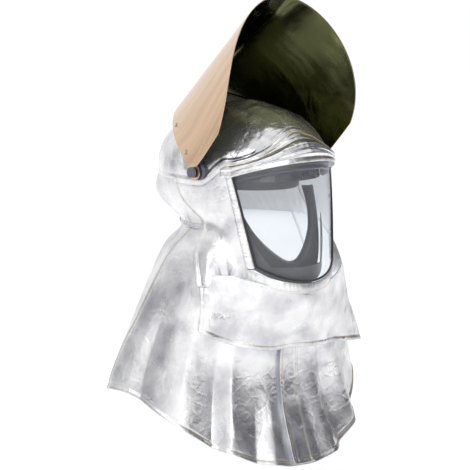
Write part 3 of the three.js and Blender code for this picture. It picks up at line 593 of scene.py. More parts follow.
def chin_casing_surface(u, v):
    """The channel under the chin follows the window's lower edge."""
    s = 2 * u - 1
    z = window_low(s) - CHIN_GAP - CASING_WIDTH * (1 - v)
    return on_face(s * (WINDOW_LOW_ANGLE + CASING_TURN), np.minimum(z, LOW_SIDE_Z - CHIN_GAP),
                   CASING_OFF + CHIN_PROUD + 0.4 * puckers(s * 0.1, v))


cloth_panel("casing_bottom_cloth", chin_casing_surface, (220, 16), ["casing_bottom"], (ELASTIC, 1.0), (), 0.0,
            folds=0.0, rough=0.35)

# ---- bib ----
# Hangs from the chin casing over the chest, sewn along its sides and free below. It falls lower and wider
# on the wearer's left.
BIB_MIDDLE_Z, BIB_RIGHT_Z, BIB_LEFT_Z, BIB_OUT, BIB_LEFT_OUT = -0.282, -0.242, -0.304, 0.011, 0.026
BIB_TUCK, BIB_ON_FACE, BIB_ON_HOOD = 0.006, 0.0020, 0.0002


def bib_surface(u, v):
    """From the free edge at v = 0 up to the casing, off the cape by more towards its free edge."""
    s = 2 * u - 1
    left = s > 0
    k = np.clip(np.abs(s) * 1.5, 0, 1)
    top = mix(LOW_MIDDLE_Z, LOW_SIDE_Z, k * k) - CASING_WIDTH + BIB_TUCK
    edge = np.where(left, seam_angle(mix(BIB_RIGHT_Z, top, v), LEFT_SEAM),
                    seam_angle(mix(BIB_RIGHT_Z, top, v), RIGHT_SEAM))
    angle = s * (edge + 1.2)
    z = mix(mix(BIB_MIDDLE_Z, np.where(left, BIB_LEFT_Z, BIB_RIGHT_Z), s * s), top, v)
    out = np.where(left, mix(BIB_OUT, BIB_LEFT_OUT, s * s), BIB_OUT)
    wave = 0.004 * np.sin(u * 2 * np.pi * 3.5 + 0.8) * (1 - v) - 0.006 * np.exp(
        -((v - 0.45 - 0.5 * (u - 0.15)) / 0.07) ** 2 - ((u - 0.16) / 0.12) ** 2)
    high = mix(on_face(angle, z, BIB_ON_FACE), on_hood(angle, z, BIB_ON_HOOD), ease(k)[..., None])
    return mix(high, on_hood(angle, z, out + wave), ease((1 - v) * 1.16 - 0.14)[..., None])


cloth_panel("bib_cloth", bib_surface, (280, 110), ["bib_flap"], FOLDED, ("low",),
            0.0, folds=0.35, rough=1.4)

# ---- nape pouch ----
# The back of the hood, gathered over the ratchet and drawn in at the neck.
NAPE_LOW, NAPE_BULGE, GATHER_DEEP, GATHER_TURN = -0.088, 0.012, 0.0022, 7.5
GATHER = 1.25  # cloth cut across for each width of drawn-in nape


def nape_surface(u, v):
    """From side seam to side seam behind, swelled in the middle, with gathers along its lower edge."""
    rough = mix(NAPE_LOW, -0.017, v)
    start = seam_angle(rough) - 1
    angle = mix(start, 360 - start, u)
    z = mix(NAPE_LOW - LAP, -0.017 + LAP, v)
    swell = NAPE_BULGE * np.sin(np.pi * u) ** 0.6 * np.sin(np.pi * np.clip(v, 0, 1))
    fade = (1 - v) ** 1.2 * np.sin(np.pi * u) ** 0.3
    gather = GATHER_DEEP * np.sin(angle * 2 * np.pi / GATHER_TURN + 1.5 * np.sin(angle / 5)) * fade
    return on_hood(angle, z, swell + gather + 0.0006)


cloth_panel("nape_pouch_cloth", nape_surface, (300, 60), ["nape_pouch"], (GATHER, 1.0), ("low",),
            0.0, folds=0.0, rough=1.9)

# ---- cape ----
# A back panel and two front panels from the neck to the hem, sewn together over the shoulders, and lapped
# in front under a hook-and-loop strip.
FRONT_HEM, SIDE_HEM, BACK_HEM, SHOULDER_SEAM, FRONT_TOP = -0.466, -0.346, -0.398, 104, -0.206


def cape_hem(angle):
    """Height of the hem: longest in front, shortest over the shoulders."""
    low = np.where(np.cos(rad(angle)) > 0, FRONT_HEM, BACK_HEM)
    return mix(low, SIDE_HEM, np.abs(np.sin(rad(angle))) ** 2.2)


def cape_back_surface(u, v):
    """The back panel, from hem to neck."""
    angle = mix(SHOULDER_SEAM - 1, 361 - SHOULDER_SEAM, u)
    return on_hood(angle, mix(cape_hem(angle), NAPE_LOW + 0.004, v), -0.0022)


def cape_front_surface(side):
    """A front panel, from the middle of the chest round to the shoulder seam."""
    def surface(u, v):
        angle = mix(-1.5 if side > 0 else 0.4, SHOULDER_SEAM + 0.8, u if side > 0 else 1 - u)
        top = mix(FRONT_TOP, NAPE_LOW + 0.002, ease((angle - 45) / 40))
        out = -0.0006 if side > 0 else -0.0022
        return on_hood(side * angle, mix(cape_hem(angle), top, v), out)
    return surface


cloth_panel("cape_back_cloth", cape_back_surface, (330, 130), ["cape_back"], FOLDED, ("low",), 0.0,
            folds=1.3, rough=1.2)
for name, side in (("right", -1), ("left", 1)):
    seam_side = "end" if side > 0 else "start"
    cloth_panel(f"cape_front_{name}_cloth", cape_front_surface(side), (230, 170), [f"cape_front_{name}"],
                FOLDED, ("low", seam_side), 0.0012, folds=1.2, rough=1.0)

# ---- closure strip ----
# A doubled strip that covers the hook-and-loop down the chest.
STRIP_TURN, STRIP_TOP = 5, -0.262


def strip_surface(u, v):
    """The strip, a finger's width off the cape's two front edges."""
    angle = mix(-STRIP_TURN, STRIP_TURN, u)
    return on_hood(angle, mix(cape_hem(angle) + 0.003, STRIP_TOP, v), 0.0016)


cloth_panel("closure_strip_cloth", strip_surface, (36, 170), ["closure_strip"], FITTED,
            ("start", "end", "low"), 0.0014, folds=1.0, rough=1.2)


# ---- stitching ----
# Tan thread, lock-stitched about 3 mm to the stitch along every hem, seam and casing.
thread = grained(finish("tan_thread", (0.56, 0.44, 0.22), 0.7), 900, 0.0002, 0.6, 0.8)
STITCH_PITCH, STITCH_LONG, STITCH_WIDE, STITCH_HIGH = 0.0034, 0.0026, 0.00042, 0.00034


def seam_line(panel, edge, inset):
    """Points and normals on a panel's grid at a fixed distance in from one edge, row by row."""
    points, normals = panels[panel]
    if edge in ("low", "high"):
        points, normals = np.swapaxes(points, 0, 1), np.swapaxes(normals, 0, 1)
    if edge in ("end", "high"):
        points, normals = points[:, ::-1], normals[:, ::-1]
    run = lengths(points, 1)
    at = np.minimum((run < inset).sum(1), run.shape[1] - 1)
    row = np.arange(len(points))
    t = ((inset - run[row, at - 1]) / np.maximum(run[row, at] - run[row, at - 1], 1e-9))[:, None]
    return mix(points[row, at - 1], points[row, at], t), normals[row, at]


def place_along(s, run, values):
    """The three components of a line's values at lengths s along it."""
    return np.stack([np.interp(s, run, values[:, k]) for k in range(3)], -1)


def sew(name, lines):
    """Stitches along lines: each is a small closed spindle, four rings of five points, half sunk in."""
    ring, side = np.linspace(0, 1, 4)[None, :, None], np.arange(5) * 2 * np.pi / 5
    vertices = []
    for points, normals in lines:
        run = np.pad(np.linalg.norm(np.diff(points, axis=0), axis=-1).cumsum(), (1, 0))
        middle = np.arange(STITCH_PITCH / 2, run[-1], STITCH_PITCH)
        start = place_along(middle - STITCH_LONG / 2, run, points)
        stop = place_along(middle + STITCH_LONG / 2, run, points)
        out = place_along(middle, run, normals)
        out /= np.linalg.norm(out, axis=-1, keepdims=True)
        across = np.cross(stop - start, out)
        across /= np.maximum(np.linalg.norm(across, axis=-1, keepdims=True), 1e-9)
        fat = (0.35 + 0.65 * np.sin(np.pi * ring))[..., None]
        spine = mix(start[:, None], stop[:, None], ring)[:, :, None]
        wide = STITCH_WIDE * np.cos(side)[:, None] * across[:, None, None]
        high = STITCH_HIGH * (0.5 + np.sin(side))[:, None] * out[:, None, None]
        vertices.append(spine + fat * (wide + high))
    shape = np.concatenate(vertices).reshape(-1, 20, 3)
    k, after = np.arange(5), (np.arange(5) + 1) % 5
    wall = np.concatenate([5 * r + np.stack([k, after, 5 + after, 5 + k], -1) for r in range(3)])
    each = 20 * np.arange(len(shape))[:, None, None]
    quads = (wall[None] + each).reshape(-1, 4)[:, ::-1]
    caps = np.concatenate([k[None] + each[:, 0], 15 + k[::-1][None] + each[:, 0]])
    new_piece(name, shape, quads.tolist() + caps.tolist(), "hood", "aluminised_cloth", [thread])


SINGLE_IN, DOUBLE_IN, STRIP_IN, BROW_IN, CASING_IN = 0.0065, 0.0115, 0.005, 0.0035, 0.0022
for seam, lines in (
        ("hem", [("cape_back", "low", SINGLE_IN), ("cape_front_right", "low", SINGLE_IN),
                 ("cape_front_left", "low", SINGLE_IN)]),
        ("bib", [("bib", "low", SINGLE_IN), ("bib", "start", SINGLE_IN), ("bib", "end", SINGLE_IN)]),
        ("strip", [("closure_strip", "start", STRIP_IN), ("closure_strip", "end", STRIP_IN)]),
        ("casing", [(f"casing_{side}", edge, CASING_IN) for side in ("right", "left")
                    for edge in ("start", "end")]
         + [("casing_bottom", "low", CASING_IN), ("casing_bottom", "high", CASING_IN)]),
        ("side_seam", [("apron_right", "start", SINGLE_IN), ("apron_left", "end", SINGLE_IN),
                       ("cape_front_right", "start", SINGLE_IN), ("cape_front_left", "end", SINGLE_IN)]),
        ("crown", [("brow_panel", "high", SINGLE_IN), ("brow_panel", "high", DOUBLE_IN),
                   ("brow_panel", "low", BROW_IN)])):
    sew(f"{seam}_stitches", [seam_line(f"{panel}_cloth", edge, inset) for panel, edge, inset in lines])

# ---- window binding ----
# Black woven tape rolled over the raw edge of the window, down both sides and round under the chin.
binding_tape = grained(finish("binding_tape", (0.012, 0.012, 0.014), 0.7, 0.0, Sheen_Weight=0.3),
                       700, 0.0004, 0.55, 0.8)
TAPE_RADIUS, TAPE_OFF, TAPE_INSET, TAPE_SIDES = 0.0019, 0.0046, 0.0022, 12


def tube(path, radius, count):
    """A closed round tube of the given radius round a path, with flat ends."""
    run = np.gradient(path, axis=0)
    run /= np.linalg.norm(run, axis=-1, keepdims=True)
    out = path * [1, 1, 0]
    out -= np.sum(out * run, -1, keepdims=True) * run
    out /= np.linalg.norm(out, axis=-1, keepdims=True)
    side = np.cross(run, out)
    t = np.arange(count) * 2 * np.pi / count
    rings = path[:, None] + radius * (np.cos(t)[:, None] * out[:, None] + np.sin(t)[:, None] * side[:, None])
    first, k = np.arange(len(path) - 1)[:, None] * count, np.arange(count)
    a, b = first + k, first + (k + 1) % count
    quads = np.stack([a, b, b + count, a + count], -1).reshape(-1, 4)
    last = (len(path) - 1) * count + np.arange(count)
    return rings.reshape(-1, 3), quads.tolist() + [np.arange(count)[::-1].tolist(), last.tolist()]


def window_path(count):
    """Down the window's right side, along its lower edge and up its left side, a little inside the edge."""
    v = np.linspace(1, 0, count)
    turn = mix(WINDOW_LOW_ANGLE, WINDOW_TOP_ANGLE, v)
    right = on_face(0.8 - turn, mix(LOW_SIDE_Z + 0.003, TOP_SIDE_Z, v), TAPE_OFF)
    s = np.linspace(-1, 1, 2 * count)[1:-1]
    low = on_face(s * (WINDOW_LOW_ANGLE - 0.6), window_low(s) + TAPE_INSET, TAPE_OFF)
    left = right[::-1] * [-1, 1, 1]
    return np.concatenate([right, low, left])


binding_piece = new_piece("window_binding_tape", *tube(window_path(70), TAPE_RADIUS, TAPE_SIDES), "hood",
                          "black_binding", [binding_tape])
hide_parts("window_binding")

# ---- clear visor ----
# A flat sheet of clear polycarbonate bent round the face, its edges held in the gathered casings and its
# top screwed to the brow frame.
clear_paint = grained(finish("clear_polycarbonate", (0.86, 0.89, 0.94), 0.03, 0.0, Alpha=0.05, IOR=1.58,
                             Coat_Weight=1.0, Coat_Roughness=0.02), 60, 0.00002, 0.02, 0.05)
VISOR_WALL, VISOR_HIDDEN = 0.002, 0.008


def visor_surface(u, v):
    """The clear sheet's outer face: the window's outline, grown by the hidden edge all round."""
    s = 2 * u - 1
    z = mix(window_low(s) - VISOR_HIDDEN, window_top(s) + VISOR_HIDDEN, v)
    turn = mix(WINDOW_LOW_ANGLE, WINDOW_TOP_ANGLE, v) + 3.3
    return on_face(s * turn, z, VISOR_WALL)


visor = skin("clear_visor_sheet", spread(visor_surface, 140, 60), VISOR_WALL, "hood", "clear_sheet",
             [clear_paint])
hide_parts("clear_visor")

# ---- brow frame ----
# A moulded dark strip behind the clear visor's top edge, that the visor is screwed to.
dark_plastic = grained(finish("dark_plastic", (0.014, 0.012, 0.026), 0.3, 0.0, Coat_Weight=0.5,
                               Coat_Tint=(0.75, 0.72, 1.0, 1)), 420, 0.0003, 0.22, 0.42)
FRAME_WALL, FRAME_BEAD, FRAME_DROP, FRAME_RISE, FRAME_GAP = 0.0054, 0.0016, 0.0150, 0.009, 0.0008


def frame_surface(u, v):
    """A strip just inside the visor sheet, with a rolled bead along its lower edge."""
    s = 2 * u - 1
    bead = FRAME_BEAD * (np.exp(-((v - 0.12) / 0.09) ** 2) - 1)
    z = window_top(s) + mix(-FRAME_DROP, FRAME_RISE, v)
    return on_face(s * (WINDOW_TOP_ANGLE + 5), z, bead - FRAME_GAP)


brow_frame = skin("brow_frame", spread(frame_surface, 180, 24), FRAME_WALL, "hood", "dark_plastic",
                  [dark_plastic])
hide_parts("visor_frame")

# ---- face seal ----
# A soft moulded sheet that slopes forward from the brow to the chin inside the visor, with an opening for
# the face that is rolled back at its rim.
seal_rubber = grained(finish("seal_rubber", (0.030, 0.030, 0.036), 0.35, 0.0, Coat_Weight=0.3),
                      260, 0.0003, 0.25, 0.42)
SEAL_TOP_Y, SEAL_TOP_Z, SEAL_LEAN, SEAL_LONG = -0.062, -0.034, 27, 0.142
SEAL_CLEAR, SEAL_WIDEST, SEAL_WALL = 0.017, 0.096, 0.0025
# The opening's rim: half-width and distance down the seal, from the top of one side to the chin.
RIM = np.array([(0.071, 0.0), (0.069, 0.034), (0.060, 0.062), (0.052, 0.078), (0.034, 0.102), (0.012, 0.121),
                (0.0, 0.123)])


def seal_outline():
    """Half-width and distance down of the outer edge: the room inside the visor, up to the widest."""
    down = np.linspace(0, SEAL_LONG, 30)
    y = SEAL_TOP_Y - down * np.sin(rad(SEAL_LEAN))
    room = (FACE_A - SEAL_CLEAR) * np.sqrt(np.clip(1 - (y / (FACE_B - SEAL_CLEAR)) ** 2, 0, 1))
    return np.stack([np.append(np.minimum(SEAL_WIDEST, room), 0), np.append(down, SEAL_LONG)], -1)


def rounded(line, rounds=3):
    """Corner cutting: each round puts points at a quarter and three quarters of every side."""
    for _ in range(rounds):
        cut = np.stack([mix(line[:-1], line[1:], 0.25), mix(line[:-1], line[1:], 0.75)], 1).reshape(-1, 2)
        line = np.concatenate([line[:1], cut, line[-1:]])
    return line


def along_line(line, t):
    """The point at each share of a line's length."""
    run = np.pad(np.linalg.norm(np.diff(line, axis=0), axis=-1).cumsum(), (1, 0))
    return np.stack([np.interp(t * run[-1], run, line[:, k]) for k in (0, 1)], -1)


def seal_surface(u, v):
    """From the opening's rim at v = 0 to the outer edge at v = 1, from one top end round the chin."""
    share = 1 - np.abs(2 * u - 1)
    side = np.where(u < 0.5, -1, 1)
    inner, outer = along_line(rounded(RIM), share), along_line(rounded(seal_outline(), 1), share)
    x, down = np.moveaxis(mix(inner, outer, v[..., None]), -1, 0)
    roll = 0.0045 * np.exp(-(v / 0.14) ** 2) - 0.002 * np.sin(np.pi * v)
    y = SEAL_TOP_Y - down * np.sin(rad(SEAL_LEAN)) + roll
    return np.stack([side * x, y, SEAL_TOP_Z - down * np.cos(rad(SEAL_LEAN))], -1)


seal = skin("face_seal_sheet", spread(seal_surface, 220, 24), SEAL_WALL, "hood", "seal_rubber",
            [seal_rubber], -1)
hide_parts("face_seal")

# ---- chin skirt ----
# A soft dark wall inside the clear visor's lower edge, which closes the room below the seal.
SKIRT_TURN, SKIRT_INSET, SKIRT_WALL, SKIRT_BEAD = 51, 0.011, 0.0012, 0.0008
SKIRT_HIDDEN, SKIRT_OVER, SKIRT_FRONT_Z = 0.006, 0.014, -0.148


def skirt_surface(u, v):
    """Up from behind the chin casing to well past the seal's slope, with a soft bead along the top."""
    angle = mix(-SKIRT_TURN, SKIRT_TURN, u)
    bead = SKIRT_BEAD * (np.exp(-((v - 0.93) / 0.05) ** 2) - 1)
    seat = on_face(angle, 0 * angle, -SKIRT_INSET)
    slope = SEAL_TOP_Z + (seat[..., 1] - SEAL_TOP_Y) / np.tan(rad(SEAL_LEAN))
    low = window_low(np.clip(angle / WINDOW_LOW_ANGLE, -1, 1)) - SKIRT_HIDDEN
    z = mix(low, np.maximum(slope + SKIRT_OVER, SKIRT_FRONT_Z), v)
    return on_face(angle, z, bead - SKIRT_INSET)


skirt = skin("chin_skirt_sheet", spread(skirt_surface, 140, 24), SKIRT_WALL, "hood", "seal_rubber",
             [seal_rubber])
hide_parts("chin_skirt")

# ---- gold visor ----
# Gold-coated polycarbonate, cut flat and bent round its carrier's arch: mirror gold outside and dark
# olive inside. It turns on the side pivots, and its corners are rounded to ears there.
PIVOT_Y, PIVOT_Z, HOLE_RADIUS = -0.038, 0.0, 0.0034
ARCH_HALF, ARCH_RADIUS, ARCH_PEAK, ARCH_ANGLE, SHEET_ANGLE = 0.1313, 0.180, 1.24, 148, 33
SHEET_LONG, SHEET_TAPER, SHEET_CORNER, SHEET_FLARE, SHEET_BELLY = 0.263, 0.59, 8, 0.25, 0.036
SHEET_WALL, SHEET_INSIDE, TIP_START, EAR_RADIUS = 0.0016, 0.0028, 3, 0.013


def over_point(angle, off, run):
    """The raised visor: round the arch by angle from the right pivot, off outwards in the arch's plane,
    and run along the sheet, which flares and bellies as it leaves the arch."""
    t = rad(angle)
    rho = (ARCH_RADIUS + off) * np.sin(t) ** ARCH_PEAK
    k = run / SHEET_LONG
    belly = SHEET_BELLY * k * np.sin(t) ** 2
    ay, az = -np.cos(rad(ARCH_ANGLE)), np.sin(rad(ARCH_ANGLE))
    sy, sz = -np.cos(rad(SHEET_ANGLE)), np.sin(rad(SHEET_ANGLE))
    return np.stack([-(ARCH_HALF + off) * np.cos(t) * (1 + SHEET_FLARE * k * np.sqrt(np.sin(t))),
                     PIVOT_Y + rho * ay + run * sy + belly * sz,
                     PIVOT_Z + rho * az + run * sz - belly * sy], -1)


def sheet_run(angle):
    """Length of the sheet from the arch: longest in the middle and rounded off at the pivots."""
    corner = np.clip((np.minimum(angle, 180 - angle) - TIP_START + 0.6) / SHEET_CORNER, 0, 1)
    return SHEET_LONG * np.sin(rad(angle)) ** SHEET_TAPER * np.sqrt(corner)


def gold_surface(u, v):
    """The sheet's outer face, with points drawn closer together towards the pivots."""
    angle = mix(TIP_START, 180 - TIP_START, 0.5 - 0.5 * np.cos(np.pi * u))
    return over_point(angle, SHEET_INSIDE + SHEET_WALL, sheet_run(angle) * v)


def reflection_streaked(paint, low, high, across, scale, reflection_tints):
    """Painted reflections and rough bands: noise stretched along the sheet sets the roughness, and its
    lighter and darker colour streaks are painted reflections.
    """
    tree = paint.node_tree
    place = tree.nodes.new("ShaderNodeTexCoord").outputs["UV"]
    turn = add_node(tree, "Mapping", {"Scale": (across, 1, 1), "Vector": place})
    band = add_node(tree, "TexNoise", {"Scale": scale, "Detail": 5, "Vector": turn.outputs["Vector"]})
    band = band.outputs["Fac"]
    reach = add_node(tree, "MapRange", {"To Min": low, "To Max": high, "Value": band})
    wire(tree.nodes["Principled BSDF"],
         {"Roughness": reach.outputs["Result"], "Base Color": ramp(tree, 0.3, reflection_tints[0], 0.7, reflection_tints[1], band)})
    return paint


# The gold and olive faces get painted reflections: lighter and darker streaks of colour along the sheet.
gold = reflection_streaked(finish("gold_coating", (0.80, 0.55, 0.34), 0.2, 1.0, Coat_Weight=0.3, Coat_Roughness=0.05),
                0.16, 0.30, 14, 5.0, ((0.58, 0.39, 0.25), (0.74, 0.52, 0.34)))
olive = reflection_streaked(finish("olive_inside", (0.05, 0.055, 0.02), 0.08, 1.0, Coat_Weight=0.4, Coat_Roughness=0.03),
                 0.07, 0.16, 10, 6.0, ((0.075, 0.08, 0.026), (0.10, 0.105, 0.036)))
sheet = skin("gold_visor_sheet", spread(gold_surface, 260, 110), SHEET_WALL, "over_visor", "gold_sheet",
             [gold, olive], -1)


def turned(profile, side, count):
    """Points of a profile of reach and radius turned round the pivots' axis, out to one side."""
    t = np.arange(count)[:, None] * 2 * np.pi / count
    reach, radius = np.moveaxis(profile, -1, 0)
    return np.stack([side * reach + 0 * t, PIVOT_Y + radius * np.cos(t), PIVOT_Z + radius * np.sin(t)], -1)


def ring_faces(count, rows, flip):
    """Quads round a turned profile that closes on itself."""
    a = np.arange(count)[:, None] * rows
    b = (np.arange(count)[:, None] + 1) % count * rows
    j, k = np.arange(rows), (np.arange(rows) + 1) % rows
    quads = np.stack([a + j, b + j, b + k, a + k], -1).reshape(-1, 4)
    return quads[:, ::-1] if flip else quads


def ear(name, reach, wall, slot, paint, side, uv=False):
    """A flat ring about a pivot: a square profile turned once round."""
    profile = np.array([(reach, HOLE_RADIUS), (reach, EAR_RADIUS), (reach + wall, EAR_RADIUS),
                        (reach + wall, HOLE_RADIUS)])
    points = turned(profile, side, 48)
    new_piece(name, points, ring_faces(48, 4, side < 0), "over_visor", slot, [paint],
              uv=points.reshape(-1, 3)[:, 1:] if uv else None, smooth=False)


for name, side in (("right", -1), ("left", 1)):
    ear(f"gold_ear_{name}", ARCH_HALF + SHEET_INSIDE, SHEET_WALL, "gold_sheet", gold, side, True)
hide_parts("gold_visor")

# ---- carrier ----
# A dark strip inside the gold visor's brow edge, which stiffens its arch from pivot to pivot.
BAND_WIDE, BAND_WALL = 0.022, 0.0016


def carrier_surface(u, v):
    """A band along the arch, no wider than the sheet that it carries."""
    angle = mix(TIP_START, 180 - TIP_START, 0.5 - 0.5 * np.cos(np.pi * u))
    return over_point(angle, BAND_WALL, np.minimum(BAND_WIDE, sheet_run(angle) * 0.9) * v - 0.0008 * (1 - v))


def repaint(node, paint):
    """Gives a CAD node a finish, in its own material slots."""
    item = bpy.data.objects[node]
    for held in item.material_slots:
        held.material = paint
    if not item.material_slots:
        item.data.materials.append(paint)


carrier_plastic = grained(finish("carrier_plastic", (0.03, 0.025, 0.02), 0.35), 500, 0.0003, 0.3, 0.45)
carrier = skin("carrier_strip", spread(carrier_surface, 200, 8), BAND_WALL, "over_visor", "dark_plastic",
               [carrier_plastic], -1)
for name, side in (("right", -1), ("left", 1)):
    ear(f"carrier_ear_{name}", ARCH_HALF, BAND_WALL, "dark_plastic", carrier_plastic, side)
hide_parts("carrier_band")

steel = grained(finish("plated_steel", (0.62, 0.60, 0.58), 0.3, 1.0), 500, 0.0002, 0.22, 0.4)
for name in ("right_low", "right_high", "middle", "left_high", "left_low"):
    repaint(f"carrier_screw_{name}", steel)
    repaint(f"carrier_nut_{name}", steel)
for name in ("right", "middle", "left"):
    repaint(f"visor_screw_{name}", steel)

# ---- pivot knobs ----
# Fluted plastic caps that clamp the gold visor's ears, with turned rings on the face.
knob_plastic = grained(finish("knob_plastic", (0.10, 0.115, 0.15), 0.4, 0.0, Coat_Weight=0.2),
                       500, 0.0003, 0.3, 0.5)


FLUTES, FLUTE_DEEP = 12, 0.09


def knob_cap(node, side, body):
    """A turned cap: rings step across its face, and twelve flutes run round its skirt."""
    low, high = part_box(node)
    inside, outside = sorted((abs(low.x), abs(high.x)))
    radius = (high.z - low.z) / 2
    # Shares of the radius and of the reach, from the back's middle round to the face's middle.
    profile = np.array([
        (0.0, 0.0), (0.93, 0.0), (1.0, 0.10), (1.0, 0.78), (0.95, 0.92), (0.88, 1.0), (0.76, 1.0),
        (0.74, 0.90), (0.60, 0.88), (0.58, 0.97), (0.46, 0.98), (0.44, 0.88), (0.30, 0.87), (0.28, 0.96),
        (0.0, 0.97)])
    count, n = 96, len(profile) - 2
    t = np.arange(count)[:, None] * 2 * np.pi / count
    flute = 1 - FLUTE_DEEP * np.maximum(0, np.cos(FLUTES * t)) ** 2
    r = radius * profile[:, 0] * np.where(profile[:, 0] > 0.9, flute, 1)
    x = side * mix(inside, outside, profile[:, 1]) + 0 * t
    points = np.stack([x, PIVOT_Y + r * np.cos(t), PIVOT_Z + r * np.sin(t)], -1)
    a, b = np.arange(count)[:, None] * n, (np.arange(count)[:, None] + 1) % count * n
    j = np.arange(n - 1)
    quads = np.stack([a + j, b + j, b + j + 1, a + j + 1], -1).reshape(-1, 4)
    back_pole, face_pole = np.full_like(a, count * n), np.full_like(a, count * n + 1)
    fans = np.concatenate([np.hstack([b, a, back_pole]), np.hstack([a + n - 1, b + n - 1, face_pole])])
    if side < 0:
        quads, fans = quads[:, ::-1], fans[:, ::-1]
    shape = np.concatenate([points[:, 1:-1].reshape(-1, 3), points[0, [0, -1]]])
    piece = new_piece(f"{node}_cap", shape, quads.tolist() + fans.tolist(), body, "knob_plastic",
                      [knob_plastic])
    bevel = piece.modifiers.new("edges", "BEVEL")
    bevel.width, bevel.segments, bevel.limit_method = 0.0003, 2, "ANGLE"
    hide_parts(node)


knob_cap("pivot_knob_right", -1, "knob_right")
knob_cap("pivot_knob_left", 1, "knob_left")

# ---- pivot collars ----
# Turned rings round each boss, where it comes out through the hood behind the gold visor's tip.
COLLAR_RINGS, COLLAR_SPAN, COLLAR_CLEAR, COLLAR_WALL, RIB_HIGH = 3, (0.1222, 0.1283), 0.0001, 0.0003, 0.0011


def collar(name, side):
    """A ribbed sleeve turned round the pivot: its radius rises and falls once for each ring."""
    low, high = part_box(f"pivot_boss_{name}")
    bore = (high.z - low.z) / 2 + COLLAR_CLEAR
    s = np.linspace(0, 1, 40)
    ribs = bore + COLLAR_WALL + RIB_HIGH * np.sin(np.pi * COLLAR_RINGS * s) ** 2
    reach = mix(*COLLAR_SPAN, s)
    profile = np.concatenate([np.stack([reach, ribs], -1), np.stack([reach[::-1], 0 * s + bore], -1)])
    new_piece(f"pivot_collar_{name}", turned(profile, side, 72), ring_faces(72, len(profile), side < 0),
              "hood", "grey_plastic", [knob_plastic])


collar("right", -1)
collar("left", 1)

# ---- helmet, bosses, washers and studs ----
# The shell that carries everything: its bosses stand out through the hood at the pivots.
shell_plastic = grained(finish("shell_plastic", (0.022, 0.021, 0.032), 0.3, 0.0, Coat_Weight=0.5),
                        120, 0.0003, 0.2, 0.34)
grey_plastic = grained(finish("grey_plastic", (0.06, 0.065, 0.08), 0.45), 500, 0.0003, 0.35, 0.55)
repaint("helmet_shell", shell_plastic)
for side in ("right", "left"):
    repaint(f"pivot_boss_{side}", grey_plastic)
    repaint(f"friction_washer_{side}", seal_rubber)
    repaint(f"pivot_stud_{side}", steel)

# ---- headgear ----
# A flexible band with a padded brow, two webbing straps over the crown, and a rear band that a knob draws
# in. Only seen from below.
band_plastic = grained(finish("band_plastic", (0.03, 0.03, 0.036), 0.45), 400, 0.0003, 0.35, 0.55)
for node in ("headband_front", "rear_band"):
    repaint(node, band_plastic)
for node in ("ratchet_housing", "strap_clip_right_front", "strap_clip_right_rear", "strap_clip_left_front",
             "strap_clip_left_rear"):
    repaint(node, grey_plastic)
repaint("ratchet_pinion", steel)
repaint("ratchet_knob", knob_plastic)
BAND_A, BAND_B, BAND_TOP, BAND_HIGH, PAD_WALL = 0.076, 0.096, -0.004, 0.026, 0.004


def webbing(name, color):
    """Woven webbing: a wavering band wave on its own UV lifts the surface, and darkens the gaps between the
    ribs as painted shade.
    """
    paint = finish(name, color, 0.75, 0.0, Sheen_Weight=0.3)
    tree = paint.node_tree
    place = tree.nodes.new("ShaderNodeTexCoord").outputs["UV"]
    ribs = add_node(tree, "TexWave", {"Scale": 160, "Distortion": 1.5, "Vector": place}).outputs["Fac"]
    bump = add_node(tree, "Bump", {"Distance": 0.0006, "Height": ribs})
    # Painted shade: the gaps between the ribs are darkened to half the colour.
    tone = ramp(tree, 0, [c * 0.5 for c in color], 1, color, ribs)
    wire(tree.nodes["Principled BSDF"], {"Base Color": tone, "Normal": bump.outputs["Normal"]})
    return paint


strap_web = webbing("strap_webbing", (0.10, 0.105, 0.12))
STRAP_WIDE, STRAP_WALL, STRAP_RISE = 0.018, 0.0015, 0.062


def strap_surface(heading, lift):
    """A strap's upper face, from clip to clip over the crown, crowned a little across its width."""
    def surface(u, v):
        t = rad(mix(-76, 76, u))
        reach = np.array([(BAND_A + 0.012) * np.sin(rad(heading)), (BAND_B + 0.012) * np.cos(rad(heading))])
        across = np.array([reach[1], -reach[0]]) / np.hypot(*reach) * STRAP_WIDE
        k = 1 + STRAP_WALL / BAND_A
        z = (BAND_TOP + 0.006 + lift * (1 - np.abs(np.sin(t))) + (STRAP_RISE - 0.010) * np.cos(t) + STRAP_WALL
             - 0.0004 * (2 * v - 1) ** 2)
        return np.stack([reach[0] * np.sin(t) * k + across[0] * (0.5 - v),
                         reach[1] * np.sin(t) * k + across[1] * (0.5 - v), z], -1)
    return surface


for name, heading, lift in (("right", -42, 0.0), ("left", 42, 0.0035)):
    points = spread(strap_surface(heading, lift), 90, 12)
    strap = skin(f"crown_strap_{name}_web", points, STRAP_WALL, "hood", "webbing", [strap_web],
                 1 if upright(points)[0, 0, 2] > 0 else -1)
    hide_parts(f"crown_strap_{name}")

pad_cloth = grained(webbing("pad_cloth", (0.035, 0.035, 0.04)), 90, 0.0006, 0.7, 0.9)


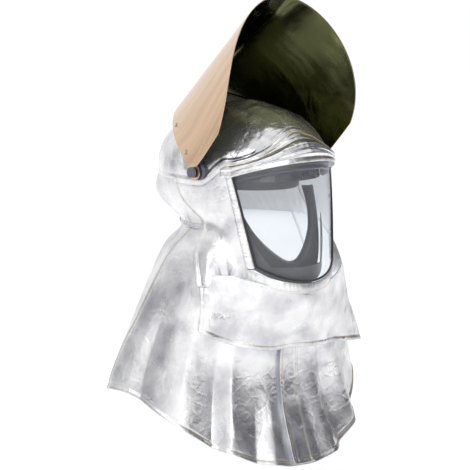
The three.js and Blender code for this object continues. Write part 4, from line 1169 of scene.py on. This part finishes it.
def pad(name, surface, cells, body, node, turned=False):
    """A padded strip: its inner face crowns away from its edges by a bell of both directions, over a
    flat back."""
    u, v = np.meshgrid(np.linspace(0, 1, cells[0] + 1), np.linspace(0, 1, cells[1] + 1))
    back, front = surface(u, v, 1.0), surface(u, v, 0.0)
    crown = (np.clip(np.minimum(u, 1 - u) * 14, 0, 1) * np.clip(np.sin(np.pi * v), 0, 1)) ** 0.5
    tufts = 1 - 0.18 * np.exp(-((u * 10) % 1 - 0.5) ** 2 / 0.004)
    inner = mix(back, front, (0.15 + 0.85 * crown * tufts)[..., None])
    rows, cols = u.shape
    faces = np.concatenate([grid_faces(rows, cols), grid_faces(rows, cols, rows * cols, True),
                            rim_faces(rows, cols)])
    both = np.concatenate([back.reshape(-1, 3), inner.reshape(-1, 3)])
    flat = np.stack([u * 0.2, v * 0.03], -1).reshape(-1, 2)
    faces = faces[:, ::-1] if turned else faces
    piece = new_piece(name, both, faces, body, "foam_cloth", [pad_cloth], uv=np.concatenate([flat, flat]))
    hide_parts(node)


def sweatband_surface(u, v, w):
    """Round the inside of the front band, w of the pad's wall out from its skin side."""
    t = rad(mix(-70, 70, u))
    r = -0.0004 - PAD_WALL * (1 - w)
    return np.stack([(BAND_A + r) * np.sin(t), -(BAND_B + r) * np.cos(t),
                     mix(BAND_TOP - BAND_HIGH - 0.002, BAND_TOP, v)], -1)


pad("sweatband_pad", sweatband_surface, (160, 24), "hood", "sweatband")
REAR_IN, REAR_BEND_Y, REAR_TAIL, REAR_HIGH, RATCHET_Z = 0.003, 0.046, 0.3, 0.016, -0.038


def nape_pad_surface(u, v, w):
    """Inside the rear band's bend: half an ellipse round the back of the head."""
    s = np.abs(2 * mix(0.33, 0.67, u) - 1)
    t = rad(90 * np.clip(s / (1 - REAR_TAIL), 0, 1))
    r = REAR_IN - 0.0004 - PAD_WALL * (1 - w)
    x = np.sign(u - 0.5) * (BAND_A + r) * np.sin(t)
    y = REAR_BEND_Y + (BAND_B + r - REAR_BEND_Y) * np.cos(t)
    z = mix(RATCHET_Z, BAND_TOP - BAND_HIGH / 2, ease(np.minimum(1, s * 1.3)))
    return np.stack([x, y, z + (v - 0.5) * (REAR_HIGH + 0.018)], -1)


pad("nape_pad_cushion", nape_pad_surface, (60, 24), "ratchet_band", "nape_pad", True)
